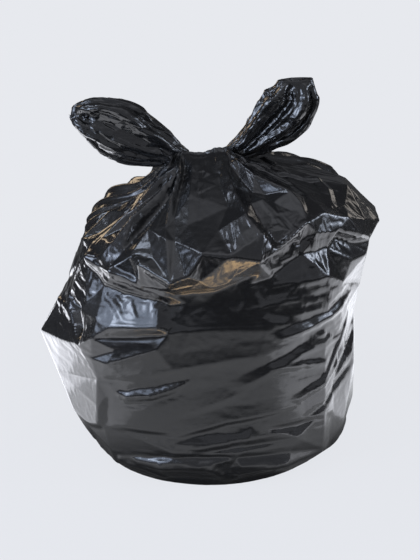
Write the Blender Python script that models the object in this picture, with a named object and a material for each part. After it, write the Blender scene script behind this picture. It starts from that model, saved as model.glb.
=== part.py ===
"""A full refuse sack, standing on its base.

It is one piece: a tube of thin black polythene film, sealed across the bottom, filled with waste, and tied
over it with its own mouth. The tie leaves two ears of bunched film. The waste can't be seen, so film and
filling are one solid.

Axes: the front looks along -Y, +X is on the right as seen from the front, and +Z is up. The sack is laid
out in millimetres about the knot's axis, and is then moved so that the middle of its box stands on the
origin.
"""

import math

import bmesh
import bpy
from mathutils import Vector
from mathutils.geometry import delaunay_2d_cdt

MM = 0.001

# Hoops of film, from the floor up to the gather. Each has its reach from the knot's axis and its height at
# eight compass points: front, front right, right, back right, back, back left, left, front left. The last
# number is how softly the film turns there: 1 is a round bend and 0 a crease.
HOOPS = (
    # sole: the edge of what lies on the floor
    ((190, 199, 214, 190, 176, 168, 157, 182), (0, 0, 0, 0, 0, 0, 0, 0), 0.2),
    # roll: where the bottom turns up into the wall
    ((200, 221, 236, 208, 196, 190, 176, 202), (38, 28, 22, 30, 36, 34, 28, 28), 0.6),
    # low wall
    ((202, 228, 238, 228, 206, 210, 203, 227), (92, 88, 80, 88, 94, 88, 86, 86), 1.0),
    # middle of the wall, level with the left corner
    ((200, 228, 235, 232, 208, 222, 240, 230), (172, 168, 168, 170, 172, 168, 178, 172), 0.7),
    # high wall, which ends in a shelf on the front left
    ((202, 225, 238, 236, 208, 214, 206, 229), (262, 256, 244, 250, 250, 244, 238, 238), 0.2),
    # hollow under the billow
    ((195, 216, 247, 237, 208, 208, 190, 206), (300, 320, 306, 300, 298, 288, 286, 284), 0.8),
    # underside of the billow
    ((197, 208, 256, 236, 210, 206, 184, 200), (326, 360, 334, 328, 320, 312, 312, 314), 0.8),
    # lip of the billow
    ((213, 211, 264, 230, 208, 198, 177, 208), (345, 382, 352, 350, 342, 334, 332, 335), 0.3),
    # brow
    ((204, 196, 244, 216, 194, 178, 158, 196), (368, 404, 383, 374, 366, 352, 351, 358), 1.0),
    # cap
    ((162, 160, 202, 176, 152, 124, 108, 154), (398, 420, 405, 402, 392, 371, 371, 385), 1.0),
    # slope up to the knot
    ((108, 110, 138, 118, 102, 88, 73, 100), (426, 434, 422, 421, 412, 399, 398, 411), 1.0),
    # gather
    ((56, 62, 70, 62, 54, 56, 54, 56), (447, 452, 443, 440, 434, 432, 436, 442), 1.0),
)
ROWS_AFTER_HOOP = (3, 4, 5, 6, 4, 2, 3, 2, 4, 4, 4)
LIP = 7
GATHER = 11

# The gathered neck is a flat bunch, drawn to a point at each end, where an ear leaves it.
NECK_HALF_WIDTH = 40
NECK_HALF_DEPTH = 15
NECK_HEIGHT = 455
CREST_HALF_WIDTH = 36
CREST_HALF_DEPTH = 8
CREST_HEIGHT = 459
CREST_RISE = 7
CREST_FALL = 10
GATHER_PULL = 5.0

# Ridges of the pleats that run from the knot to the lip: compass angle and height at mid slope.
RIDGES = (
    (-98, 7), (-86, 8), (-70, 8), (-53, 10), (-38, 5), (-26, 5), (-13, 9), (5, 2), (24, 10), (36, 5),
    (49, 8), (66, 6), (84, 6), (104, 5), (116, 10), (131, 8), (148, 13), (160, 7), (174, 12),
    (186, 8), (204, 14), (217, 7), (233, 12), (247, 8),
)
# Hoop at which they start, at the eight compass points.
PLEATS_START = (5.7, 6.6, 7.0, 7.2, 7.3, 7.2, 6.4, 5.6)
VALLEY_SHARE = 0.45

# Facets: nets of flat panels of tight film between creases. Each net has the compass angle that it lies
# about, its edge, its corners and its creases. A corner has its compass angle, its level, counted in hoops
# from the floor, and how far it is pushed out, in millimetres. Along its edge a net lies on the film.
FACETS = (
    # the corner drawn out on the left, with its slot, and the ledge, the sag and the panel beside it
    (
        0,
        (
            (-112, 3.0), (-112, 5.0), (-104, 7.2), (-84, 7.6), (-66, 7.5), (-50, 7.3), (-36, 7.2),
            (-24, 7.3), (-12, 6.8), (-6, 5.2), (-4, 4.2), (-12, 3.3), (-28, 2.9), (-41, 2.6), (-60, 2.0),
            (-84, 1.8), (-104, 2.2),
        ),
        {
            "tip": (-79, 2.98, 17), "side": (-89, 3.9, 6), "upper_side": (-92, 4.9, 5),
            "top_side": (-86, 6.0, 2), "hollow": (-71, 3.7, 1), "spur": (-76, 4.4, 7),
            "brink": (-64, 3.35, 5), "dip": (-60, 3.8, -4), "brink_end": (-50, 3.55, 5),
            "flap_top": (-57, 6.6, 2), "flap_right": (-49.5, 6.3, 0), "flap_low": (-68.5, 4.55, 6),
            "flap_foot": (-50.5, 4.75, 8), "slot_top": (-58, 4.45, -15), "slot_low": (-55, 3.95, -13),
            "lug_top": (-52.5, 4.55, 8), "lug_low": (-49.5, 4.05, -1), "lug_right": (-42.5, 4.5, 8),
            "lug_foot": (-42.5, 3.9, 7), "ledge_left": (-35.9, 4.35, 8), "ledge": (-25, 4.38, 5),
            "ledge_right": (-15, 4.35, 2), "sag_left": (-43.4, 3.42, 6), "sag": (-36.5, 3.4, 8),
            "sag_inner": (-34, 3.62, 1), "sag_right": (-18, 3.65, 3), "valley_left": (-44, 5.7, 1),
            "valley": (-33, 5.7, 1), "valley_right": (-20, 5.4, 0),
        },
        (
            ("tip", "brink"), ("brink", "brink_end"), ("brink_end", "lug_foot"), ("tip", "side"),
            ("lug_top", "lug_right"), ("lug_right", "ledge_left"), ("ledge_left", "ledge"),
            ("ledge", "ledge_right"), ("flap_low", "lug_top"), ("flap_top", "flap_low"),
            ("flap_foot", "flap_right"), ("slot_top", "slot_low"), ("sag_left", "sag"), ("sag", "sag_right"),
            ("valley_left", "valley"), ("valley", "valley_right"), ("flap_foot", "valley_left"),
            ("tip", "spur"), ("spur", "upper_side"),
        ),
    ),
    # the front of the cap, with the folds that run down from the knot, and the lip with its scallops
    (
        0,
        (
            (-78, 7.6), (-84, 8.6), (-82, 9.5), (-66, 10.4), (-40, 10.8), (-14, 10.9), (6, 10.9),
            (24, 10.9), (46, 10.8), (66, 10.4), (68, 9.8), (60, 9.0), (50, 8.3), (38, 7.4), (33, 6.8),
            (24, 5.7), (6, 5.5), (-10, 5.6), (-26, 6.3), (-40, 7.15), (-56, 7.35), (-68, 7.35),
        ),
        {
            "tube_high": (-46, 10.3, 8), "tube": (-62, 9.6, 10), "tube_low": (-69, 8.7, 9),
            "tube_end": (-67.5, 7.6, 5), "gutter": (-52, 9.5, -6), "gutter_low": (-58, 8.5, -4),
            "third_high": (-32, 10.1, 6), "third": (-38, 9.2, 9), "third_low": (-42, 8.3, 6),
            "cleft": (-27, 9.9, -7), "cleft_low": (-32, 9.0, -7), "flat_foot": (-22, 8.4, 2),
            "fourth": (-15.5, 9.9, 4), "slit": (-11, 9.9, -5), "spine": (-14.2, 8.7, 3),
            "middle": (-6, 10.0, 4), "middle_low": (-5, 9.0, 3), "soft": (9, 10.2, -1),
            "soft_low": (12, 9.5, 1), "blade": (19.5, 9.9, 6), "blade_wide": (22, 9.0, 9),
            "blade_end": (24, 8.1, 9), "blade_back": (27, 9.4, -1), "gap": (31, 10.5, -7),
            "roll_high": (40, 10.5, 7), "roll": (47, 10.1, 8), "roll_end": (49.5, 9.2, 6),
            "patch_low": (38, 8.8, -2), "scallop_left": (-25, 7.85, 5), "scallop": (-12.3, 7.25, 12),
            "turn": (-6.4, 7.5, 12), "brim_left": (1, 8.15, 17), "brim": (10.2, 7.9, 16),
            "brim_right": (22, 7.25, 8), "tuck_left": (-13, 6.7, 0), "tuck": (-1, 6.85, -1),
            "tuck_right": (11.8, 6.45, 1),
        },
        (
            ("tube_high", "tube"), ("tube", "tube_low"), ("tube_low", "tube_end"), ("gutter", "gutter_low"),
            ("third_high", "third"), ("third", "third_low"), ("cleft", "cleft_low"), ("spine", "scallop"),
            ("blade", "blade_wide"), ("blade_wide", "blade_end"), ("roll_high", "roll"),
            ("roll", "roll_end"), ("scallop_left", "scallop"), ("scallop", "turn"), ("turn", "brim_left"),
            ("brim_left", "brim"), ("brim", "brim_right"), ("tuck_left", "tuck"), ("tuck", "tuck_right"),
            ("tuck_right", "brim_right"), ("turn", "tuck"),
        ),
    ),
    # the keel across the bottom of the front
    (
        0,
        (
            (-54, 1.9), (-40, 2.2), (-10, 2.1), (20, 2.2), (50, 2.2), (68, 1.9), (70, 0.9), (60, 0.25),
            (40, 0.1), (10, 0.08), (-20, 0.08), (-44, 0.2), (-56, 0.8),
        ),
        {
            "tuck_left": (-39, 1.5, 5), "tuck": (-12, 1.6, 6), "tuck_right": (16, 1.6, 5),
            "tuck_end": (38, 1.8, 4), "under_left": (-30, 1.3, 0), "under": (-12, 1.38, 0),
            "under_right": (14, 1.42, 1), "under_end": (36, 1.45, 1), "keel_left": (-38, 0.98, 9),
            "top_left": (-18, 1.12, 4), "top": (-2, 1.15, 2), "top_right": (16, 1.22, 3),
            "keel_right": (34, 1.1, 9), "low_left": (-16.5, 0.5, 9), "low": (-2, 0.52, 8),
            "low_right": (14, 0.5, 10), "dent": (11, 0.95, -1), "right_edge": (52, 1.25, 5),
            "right_low": (48, 0.8, 2),
        },
        (
            ("tuck_left", "tuck"), ("tuck", "tuck_right"), ("tuck_right", "tuck_end"),
            ("under_left", "under"), ("under", "under_right"), ("under_right", "under_end"),
            ("keel_left", "top_left"), ("top_left", "top"), ("keel_left", "low_left"), ("low_left", "low"),
            ("low", "low_right"), ("low_right", "keel_right"), ("top_right", "keel_right"),
            ("keel_right", "right_edge"),
        ),
    ),
    # the right shoulder, its creases, and the crumpled film under it
    (
        0,
        (
            (22, 6.9), (30, 7.6), (46, 8.3), (56, 9.1), (66, 10.0), (80, 10.6), (96, 10.4), (114, 9.6),
            (118, 7.5), (114, 5.2), (100, 4.0), (80, 3.4), (60, 3.4), (40, 3.8), (24, 4.3), (18, 5.5),
        ),
        {
            "corner": (55, 8.0, 7), "lip_left": (27, 7.15, 4), "lip_middle": (36.4, 7.5, 5),
            "lip_right": (46, 7.8, 5), "crease_low": (59.5, 8.6, 3), "crease_middle": (69.6, 9.2, 0),
            "crease_top": (80, 9.9, 4), "rim": (65, 7.7, 3), "rim_middle": (74.5, 7.5, 3),
            "point": (86, 7.0, 1), "back": (98, 7.1, 2), "top": (84, 8.8, 5), "top_back": (98, 8.9, 5),
            "saddle": (71, 8.3, 0), "under_left": (50, 7.2, -3), "under": (59, 7.1, 0),
            "under_right": (69, 6.7, 8), "side": (86, 6.1, -4), "side_low": (86, 5.0, -3),
            "side_foot": (84, 4.3, 0), "fold_top": (76, 6.1, 7), "fold_turn": (74, 5.35, 11),
            "fold_middle": (65, 5.3, 9), "fold_end": (61, 4.7, 4), "pit": (60, 6.3, -10),
            "crumple_top": (55.5, 5.9, -3), "crumple_low": (52, 5.0, 9), "pit_low": (67, 5.95, -4),
            "wall_top": (43, 5.9, -3), "wall": (40, 5.0, 1), "wall_left": (29, 5.5, -3),
            "ridge": (52, 4.3, 5), "nape": (108, 7.1, 0), "nape_top": (106, 8.4, 0),
            "nape_middle": (106, 6.2, -1), "nape_low": (101, 5.2, -2),
        },
        (
            ("corner", "lip_right"), ("lip_right", "lip_middle"), ("lip_middle", "lip_left"),
            ("corner", "crease_low"), ("crease_low", "crease_middle"), ("crease_middle", "crease_top"),
            ("corner", "rim"), ("rim", "rim_middle"), ("rim_middle", "point"), ("point", "back"),
            ("fold_top", "fold_turn"), ("fold_turn", "fold_middle"), ("fold_middle", "fold_end"),
            ("crumple_top", "crumple_low"), ("crumple_low", "ridge"), ("under_left", "under"),
            ("under", "under_right"),
        ),
    ),
    # the back wall, pushed out by what is inside and drawn in between
    (
        180,
        (
            (102, 1.4), (102, 3.0), (110, 4.8), (116, 6.4), (128, 7.4), (160, 7.6), (185, 7.5),
            (212, 7.6), (236, 7.3), (251, 6.2), (251, 4.6), (251, 3.0), (249, 1.4), (230, 0.5),
            (200, 0.35), (170, 0.4), (140, 0.35), (116, 0.7),
        ),
        {
            "knuckle": (130, 4.5, 9), "knuckle_high": (125, 5.7, 3), "box_top": (197, 3.6, 9),
            "box_foot": (190, 1.6, 4), "elbow": (228, 5.1, 8), "lump": (160, 2.1, 7), "heel": (237, 2.0, 7),
            "hip": (168, 5.9, 7), "rib": (208, 6.2, 3), "toe": (119, 2.3, 6), "fold": (150, 3.5, -5),
            "fold_low": (141, 2.7, -4), "hollow": (170, 4.2, -5), "hollow_high": (190, 5.8, -3),
            "groove": (212, 4.1, -5), "groove_low": (216, 2.7, -5), "dip": (178, 2.8, -3),
            "neckline": (147, 5.6, -4), "seam": (118, 3.6, -4), "seam_high": (241, 3.9, -5),
            "crease": (139, 1.3, -3), "crease_foot": (208, 1.2, -4), "brow": (142, 6.9, 3),
            "brow_dip": (156, 7.0, -4), "ridge": (176, 6.95, 7), "ridge_dip": (197, 7.05, -3),
            "shoulder": (222, 6.85, 7), "shoulder_dip": (238, 6.3, -2),
        },
        (
            ("knuckle", "knuckle_high"), ("knuckle", "fold"), ("fold", "fold_low"), ("hip", "box_top"),
            ("box_top", "box_foot"), ("groove", "groove_low"), ("elbow", "box_top"), ("elbow", "shoulder"),
            ("lump", "box_foot"), ("lump", "toe"), ("elbow", "heel"), ("neckline", "brow_dip"),
            ("hip", "ridge"),
        ),
    ),
    # the right side
    (
        0,
        (
            (55, 0.9), (54, 2.2), (57, 3.3), (68, 3.9), (84, 4.3), (100, 4.7), (110, 4.6), (113, 3.0),
            (110, 1.5), (98, 0.6), (76, 0.45), (62, 0.5),
        ),
        {
            "bulge": (73, 2.7, 5), "dent": (87, 3.4, -4), "knee": (99, 2.5, 6), "dent_low": (84, 1.7, -3),
            "cheek": (66, 1.6, 3), "back": (105, 3.6, 3), "pinch": (64, 3.1, -4), "foot": (97, 1.2, 2),
        },
        (
            ("pinch", "bulge"), ("bulge", "dent_low"), ("dent", "knee"), ("knee", "foot"),
            ("bulge", "knee"),
        ),
    ),
)
FLAT_PER_DEGREE = 3.7
# The film slides onto a crease this near, in millimetres, and blends into the rest of the film this far in.
FACET_SNAP = 4
FACET_BLEND = 14

# Folds drawn on the film: points on or near it, half width, and height, which is negative for a furrow.
FOLDS = (
    # the edge down the front left
    (((-124, -166, 30), (-142, -168, 90), (-148, -168, 150), (-150, -168, 196)), 32, 11),
    # the edge down the front right
    (((146, -150, 36), (176, -142, 110), (182, -134, 200), (176, -128, 276)), 34, 7),
    # slack in the front wall
    (((-140, -178, 196), (-96, -192, 206), (-40, -198, 220)), 22, 5),
    (((-110, -188, 150), (-40, -198, 158), (40, -198, 182), (110, -186, 214)), 26, 5),
    (((-50, -198, 96), (40, -200, 108), (150, -160, 150)), 28, 5),
    # slack under the left corner
    (((-196, 30, 60), (-222, 40, 130), (-196, 110, 200)), 34, 6),
)

# A point this near a fold slides onto it, so that the fold stays sharp.
FOLD_SNAP = 6
FOLD_DEPTH = 36

# Ears: middle line, half widths, and half depths, from the knot to the tip.
LEFT_EAR = (
    ((-24, 7, 444), 12, 11),
    ((-42, 7, 450), 20, 15),
    ((-64, 7, 460), 32, 18),
    ((-95, 5, 473), 43, 23),
    ((-124, 4, 489), 46, 25),
    ((-149, 4, 501), 40, 23),
    ((-169, 5, 508), 31, 19),
    ((-184, 6, 512), 21, 14),
    ((-193, 6, 514), 11, 9),
)
RIGHT_EAR = (
    ((40, 10, 450), 13, 11),
    ((64, 10, 463), 22, 15),
    ((87, 9, 483), 32, 18),
    ((105, 8, 501), 39, 21),
    ((118, 8, 518), 42, 22),
    ((127, 8, 534), 40, 22),
    ((131, 8, 550), 33, 20),
    ((133, 8, 564), 25, 17),
)
# Way across the tip of the right ear, which is cut off level.
RIGHT_TIP = (-0.995, 0.0, -0.08)
TIP_SHARE = 0.6
EAR_SEGMENTS = 28
EAR_ROWS = 12
EAR_CUP = ((0.72, 6), (0.5, 22), (0.25, 30))

KNOT_MIDDLE = (4, 13, 447)
KNOT_HALF_SIZE = (43, 20, 17)
KNOT_WRAPS = 4


def curve(before, start, end, after, share, start_softness=1.0, end_softness=1.0):
    """A curve through start and end, at a share of the way between them. No softness makes a corner."""
    square = share * share
    cube = square * share
    leave = (end - before) * 0.5 * start_softness
    arrive = (after - start) * 0.5 * end_softness
    return (
        (2 * cube - 3 * square + 1) * start
        + (cube - 2 * square + share) * leave
        + (3 * square - 2 * cube) * end
        + (cube - square) * arrive
    )


def around(values, angle):
    """The value at a compass angle in degrees, from values evenly spaced round the compass."""
    count = len(values)
    place = (angle / 360 * count) % count
    first = int(place)
    four = (values[(first + step) % count] for step in (-1, 0, 1, 2))
    return curve(*four, place - first)


def hoop_at(angle, level):
    """Reach and height of the film at a compass angle, at a level counted in hoops from the floor."""
    first = min(int(level), len(HOOPS) - 2)
    near = [HOOPS[min(max(first + step, 0), len(HOOPS) - 1)] for step in (-1, 0, 1, 2)]
    reach, height = (
        curve(*(around(hoop[kind], angle) for hoop in near), level - first, near[1][2], near[2][2])
        for kind in (0, 1)
    )
    return reach, max(height, 0.0)


def neck_x(angle, half_width):
    """Where the film of this angle meets the neck: nearly all of it is drawn to one end or the other."""
    return half_width * math.tanh(GATHER_PULL * math.sin(math.radians(angle)))


def film_point(angle, level):
    """A point of the film before its pleats and folds, in millimetres."""
    reach, height = hoop_at(angle, level)
    turn = math.radians(angle)
    lip_reach = around(HOOPS[LIP][0], angle)
    drawn = max(0.0, (lip_reach - reach) / lip_reach) if level > LIP else 0.0
    x = reach * math.sin(turn)
    x += (neck_x(angle, NECK_HALF_WIDTH) - NECK_HALF_WIDTH * math.sin(turn)) * drawn
    return Vector((x, -reach * math.cos(turn), height))


def neck_ring(angles, half_width, half_depth, height, rise, fall):
    """A ring of the gathered neck. Its front right stands higher and its back stands lower."""
    ring = []
    for angle in angles:
        x = neck_x(angle, half_width)
        front = math.cos(math.radians(angle))
        lift = rise * min(max(x / 22, 0.0), 1.0) - fall * (1 - front) / 2
        ring.append(Vector((x, -half_depth * front, height + lift)))
    return ring


def pleat_angles():
    """Compass angles of the film's columns: on each ridge, in each valley, and between, with heights."""
    found = []
    for number, (ridge, height) in enumerate(RIDGES):
        after, next_height = RIDGES[(number + 1) % len(RIDGES)]
        gap = (after - ridge) % 360
        valley = -VALLEY_SHARE * (height + next_height) / 2
        found += [
            (ridge, height),
            (ridge + gap / 4, valley + (height - valley) * 0.3),
            (ridge + gap / 2, valley),
            (ridge + gap * 3 / 4, valley + (next_height - valley) * 0.3),
        ]
    return found


def pleat_swell(angle, level):
    """How much of the pleats shows: none on the wall, most half way up the cap."""
    start = around(PLEATS_START, angle)
    rise = (level - start) / (GATHER - start)
    if rise <= 0:
        return 0.0
    return math.sin(math.pi * min(rise, 1.0) ** 0.8 * 0.94) ** 0.9


def film_levels():
    found = []
    for hoop, rows in enumerate(ROWS_AFTER_HOOP):
        found += [hoop + row / rows for row in range(rows)]
    return found + [float(GATHER)]


def film_normal(angle, level):
    """The way the film faces, before its pleats and folds."""
    low = max(level - 0.05, 0.0)
    across = film_point(angle + 0.5, level) - film_point(angle - 0.5, level)
    along = film_point(angle, level + 0.05) - film_point(angle, low)
    return across.cross(along).normalized()


def flat_heights():
    """How far up each hoop lies on the film laid out flat."""
    heights = [0.0]
    for low, high in zip(HOOPS, HOOPS[1:]):
        steps = [
            math.hypot(high[0][way] - low[0][way], high[1][way] - low[1][way]) for way in range(len(low[0]))
        ]
        heights.append(heights[-1] + sum(steps) / len(steps))
    return heights


def laid_flat(angle, level, heights):
    first = min(int(level), len(heights) - 2)
    up = heights[first] + (heights[first + 1] - heights[first]) * (level - first)
    return Vector((angle * FLAT_PER_DEGREE, up))


def facet_net(edge, corners, creases, heights):
    """A net's corners on the flat film and in space, its triangles, and its edge and creases laid flat."""
    flat = [laid_flat(angle, level, heights) for angle, level in edge]
    solid = [film_point(angle, level) for angle, level in edge]
    for angle, level, push in corners.values():
        flat.append(laid_flat(angle, level, heights))
        solid.append(film_point(angle, level) + film_normal(angle, level) * push)
    names = list(corners)
    rim = [(here, (here + 1) % len(edge)) for here in range(len(edge))]
    inner = [(len(edge) + names.index(start), len(edge) + names.index(end)) for start, end in creases]
    spots, _, triangles, sources, _, _ = delaunay_2d_cdt(flat, rim + inner, [], 1, 1e-4)
    solid = [solid[source[0]] for source in sources]
    outline, folds = ([(flat[start], flat[end]) for start, end in lines] for lines in (rim, inner))
    return spots, solid, triangles, outline, folds


def nearest_line(place, lines):
    """The point on any of the lines nearest a place on the flat film."""
    found = (nearest_on(line, place)[0] for line in lines)
    return min(found, key=lambda spot: (spot - place).length)


def on_net(place, spots, solid, triangles):
    """The point in space of a place on the flat film, or None outside the net."""
    for triangle in triangles:
        a, b, c = (spots[corner] for corner in triangle)
        area = (b - a).cross(c - a)
        first = (b - place).cross(c - place) / area
        second = (c - place).cross(a - place) / area
        if min(first, second, 1 - first - second) > -1e-5:
            a, b, c = (solid[corner] for corner in triangle)
            return a * first + b * second + c * (1 - first - second)
    return None


def press_facets(film, angles):
    """Draws the film flat between the corners of each net."""
    heights = flat_heights()
    for middle, edge, corners, creases in FACETS:
        spots, solid, triangles, rim, inner = facet_net(edge, corners, creases, heights)
        for level, ring in zip(film_levels(), film):
            for angle, vert in zip(angles, ring):
                place = laid_flat((angle - middle + 180) % 360 - 180 + middle, level, heights)
                crease = nearest_line(place, inner)
                if (crease - place).length < FACET_SNAP:
                    place = crease
                found = on_net(place, spots, solid, triangles)
                if found is None:
                    continue
                keep = min((nearest_line(place, rim) - place).length / FACET_BLEND, 1.0)
                vert.co = vert.co.lerp(found, keep * keep * (3 - 2 * keep))


def nearest_on(path, point):
    """The point of a path nearest a point, and how far along the path it lies, from 0 to 1."""
    best = None
    for number, (start, end) in enumerate(zip(path, path[1:])):
        step = end - start
        share = min(max((point - start).dot(step) / step.length_squared, 0.0), 1.0)
        found = start + step * share
        away = (point - found).length
        if best is None or away < best[0]:
            best = (away, found, (number + share) / (len(path) - 1))
    return best[1], best[2]


def press_folds(mesh, verts):
    """Moves the film along its normal where a fold runs."""
    for points, half_width, size in FOLDS:
        path = [Vector(point) for point in points]
        for vert in verts:
            found, share = nearest_on(path, vert.co)
            gap = found - vert.co
            depth = gap.dot(vert.normal)
            gap -= vert.normal * depth
            if abs(depth) > FOLD_DEPTH or gap.length > half_width:
                continue
            if gap.length < FOLD_SNAP:
                vert.co += gap
                gap = Vector((0, 0, 0))
            fade = math.sin(math.pi * (0.12 + 0.76 * share))
            vert.co += vert.normal * size * fade * (1 - gap.length / half_width) ** 1.4
        mesh.normal_update()


def bridge(mesh, rings):
    for low, high in zip(rings, rings[1:]):
        count = len(low)
        for here in range(count):
            beside = (here + 1) % count
            mesh.faces.new((low[here], low[beside], high[beside], high[here]))


def close(mesh, ring, flip):
    """Closes a ring with a fan of triangles round its middle."""
    total = Vector((0, 0, 0))
    for vert in ring:
        total += vert.co
    hub = mesh.verts.new(total / len(ring))
    for here, vert in enumerate(ring):
        beside = ring[(here + 1) % len(ring)]
        mesh.faces.new((beside, vert, hub) if flip else (vert, beside, hub))


def body_mesh():
    """The filled sack up to its gathered neck, as rings of film bridged one to the next."""
    mesh = bmesh.new()
    columns = pleat_angles()
    angles = [angle for angle, height in columns]
    film = [[mesh.verts.new(film_point(angle, level)) for angle in angles] for level in film_levels()]
    neck = [
        [mesh.verts.new(point) for point in neck_ring(angles, *ring)]
        for ring in (
            (NECK_HALF_WIDTH, NECK_HALF_DEPTH, NECK_HEIGHT, CREST_RISE * 0.7, CREST_FALL),
            (CREST_HALF_WIDTH, CREST_HALF_DEPTH, CREST_HEIGHT, CREST_RISE, CREST_FALL),
        )
    ]
    bridge(mesh, film + neck)
    close(mesh, film[0], True)
    close(mesh, neck[-1], False)
    mesh.normal_update()
    for level, ring in zip(film_levels(), film):
        for (angle, height), vert in zip(columns, ring):
            vert.co += vert.normal * height * pleat_swell(angle, level)
    press_facets(film, angles)
    mesh.normal_update()
    press_folds(mesh, [vert for ring in film[1:] for vert in ring])
    return mesh


def station(spine, share):
    """Middle, half width and half depth of an ear at a share of the way from the knot to its tip."""
    place = share * (len(spine) - 1)
    first = min(int(place), len(spine) - 2)
    four = [spine[min(max(first + step, 0), len(spine) - 1)] for step in (-1, 0, 1, 2)]
    middle = curve(*(Vector(each[0]) for each in four), place - first)
    half_width, half_depth = (curve(*(each[kind] for each in four), place - first) for kind in (1, 2))
    return middle, half_width, half_depth


def ear_mesh(spine, pleats, groove, groove_depth, tip_side=None):
    """An ear of bunched film: rings along its middle line, pleated lengthwise, hollow at the tip."""
    mesh = bmesh.new()
    rings = []
    for row in range(EAR_ROWS + 1):
        share = row / EAR_ROWS
        middle, half_width, half_depth = station(spine, share)
        ahead = station(spine, min(share + 0.02, 1.0))[0] - station(spine, max(share - 0.02, 0.0))[0]
        ahead.normalize()
        side = ahead.cross(Vector((0, 1, 0))).normalized()
        if tip_side and share > TIP_SHARE:
            side = side.lerp(Vector(tip_side), ((share - TIP_SHARE) / (1 - TIP_SHARE)) ** 1.5).normalized()
        rings.append((middle, side, ahead, half_width, half_depth))
    middle, side, ahead, half_width, half_depth = rings[-1]
    for shrink, back in EAR_CUP:
        rings.append((middle - ahead * back, side, ahead, half_width * shrink, half_depth * shrink))
    made = []
    for number, (middle, side, ahead, half_width, half_depth) in enumerate(rings):
        share = min(number / EAR_ROWS, 1.0)
        ring = []
        for segment in range(EAR_SEGMENTS):
            turn = 2 * math.pi * segment / EAR_SEGMENTS
            swell = 1 + sum(size * math.cos(count * turn + shift) for count, size, shift in pleats)
            away = abs((turn - groove + math.pi) % (2 * math.pi) - math.pi) / 0.6
            if away < 1:
                swell -= groove_depth * share * (1 - away) * swell
            ring.append(mesh.verts.new(
                middle
                + side * half_width * swell * math.cos(turn)
                + Vector((0, 1, 0)) * half_depth * swell * math.sin(turn)
            ))
        made.append(ring)
    bridge(mesh, made)
    close(mesh, made[0], True)
    close(mesh, made[-1], False)
    return mesh


def knot_mesh():
    """The tie: a flat lump, with the film wound slantwise round it."""
    mesh = bmesh.new()
    bmesh.ops.create_uvsphere(mesh, u_segments=20, v_segments=12, radius=1)
    for vert in mesh.verts:
        turn = math.atan2(vert.co.z, vert.co.y)
        swell = 1 + 0.12 * math.cos(KNOT_WRAPS * (turn + 2.2 * vert.co.x))
        place = (KNOT_MIDDLE[axis] + KNOT_HALF_SIZE[axis] * vert.co[axis] * swell for axis in range(3))
        vert.co = Vector(place)
    return mesh


def add_object(name, mesh, material):
    data = bpy.data.meshes.new(name)
    bmesh.ops.recalc_face_normals(mesh, faces=mesh.faces)
    bmesh.ops.scale(mesh, vec=(MM, MM, MM), verts=mesh.verts)
    mesh.to_mesh(data)
    mesh.free()
    data.materials.append(material)
    data.shade_smooth()
    made = bpy.data.objects.new(name, data)
    bpy.context.scene.collection.objects.link(made)
    return made


def join_to(body, part):
    """Unites a part with the body. The part stays behind as a hidden operand."""
    union = body.modifiers.new(part.name, "BOOLEAN")
    union.operation = "UNION"
    union.solver = "EXACT"
    union.object = part
    part.hide_render = True
    part.display_type = "WIRE"


def film_material():
    """Glossy black polythene film."""
    material = bpy.data.materials.new("black_film")
    material.use_nodes = True
    shader = material.node_tree.nodes["Principled BSDF"]
    shader.inputs["Base Color"].default_value = (0.012, 0.012, 0.013, 1)
    shader.inputs["Roughness"].default_value = 0.22
    shader.inputs["Metallic"].default_value = 0.0
    return material


def centre(made):
    """Moves everything so that the middle of its box stands on the origin."""
    points = [vert.co for each in made for vert in each.data.vertices]
    low, high = (Vector(pick(point[axis] for point in points) for axis in range(3)) for pick in (min, max))
    shift = Vector(((low.x + high.x) / 2, (low.y + high.y) / 2, low.z))
    for each in made:
        for vert in each.data.vertices:
            vert.co -= shift


def main():
    for old in list(bpy.data.objects):
        bpy.data.objects.remove(old)
    film = film_material()
    body = add_object("bin_bag", body_mesh(), film)
    left_ear = ear_mesh(LEFT_EAR, ((7, 0.13, 0.4), (3, 0.07, 1.4)), 4.4, 0.6)
    right_ear = ear_mesh(RIGHT_EAR, ((7, 0.13, 1.9), (3, 0.08, 0.3)), 4.6, 0.5, RIGHT_TIP)
    parts = [
        add_object("knot", knot_mesh(), film),
        add_object("left_ear", left_ear, film),
        add_object("right_ear", right_ear, film),
    ]
    centre([body] + parts)
    for part in parts:
        join_to(body, part)


main()
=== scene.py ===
import math

import bpy
import numpy as np
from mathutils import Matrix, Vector
from mathutils.geometry import delaunay_2d_cdt


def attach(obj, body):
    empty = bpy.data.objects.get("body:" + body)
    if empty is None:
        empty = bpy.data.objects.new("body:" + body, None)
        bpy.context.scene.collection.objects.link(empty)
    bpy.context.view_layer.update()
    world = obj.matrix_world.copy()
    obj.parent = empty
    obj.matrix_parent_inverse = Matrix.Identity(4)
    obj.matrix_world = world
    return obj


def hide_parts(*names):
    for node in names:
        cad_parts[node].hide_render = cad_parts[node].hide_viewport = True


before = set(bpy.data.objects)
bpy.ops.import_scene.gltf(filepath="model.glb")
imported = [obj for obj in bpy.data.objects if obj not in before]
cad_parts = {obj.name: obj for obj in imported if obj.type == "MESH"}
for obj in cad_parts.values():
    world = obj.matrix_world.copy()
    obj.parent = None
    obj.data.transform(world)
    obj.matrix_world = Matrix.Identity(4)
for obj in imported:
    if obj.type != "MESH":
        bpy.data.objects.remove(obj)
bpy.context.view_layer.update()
mm = 0.001

# the knot's axis is a little left of and behind the middle of the box
knotAxis = np.array((-6.4, 1.9, 0.0))


def linear(hexColour):
    # sRGB hex to the linear value that the shader wants
    parts = [int(hexColour[place:place + 2], 16) / 255 for place in (1, 3, 5)]
    return (*(part / 12.92 if part <= 0.04045 else ((part + 0.055) / 1.055) ** 2.4 for part in parts), 1.0)


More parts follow.
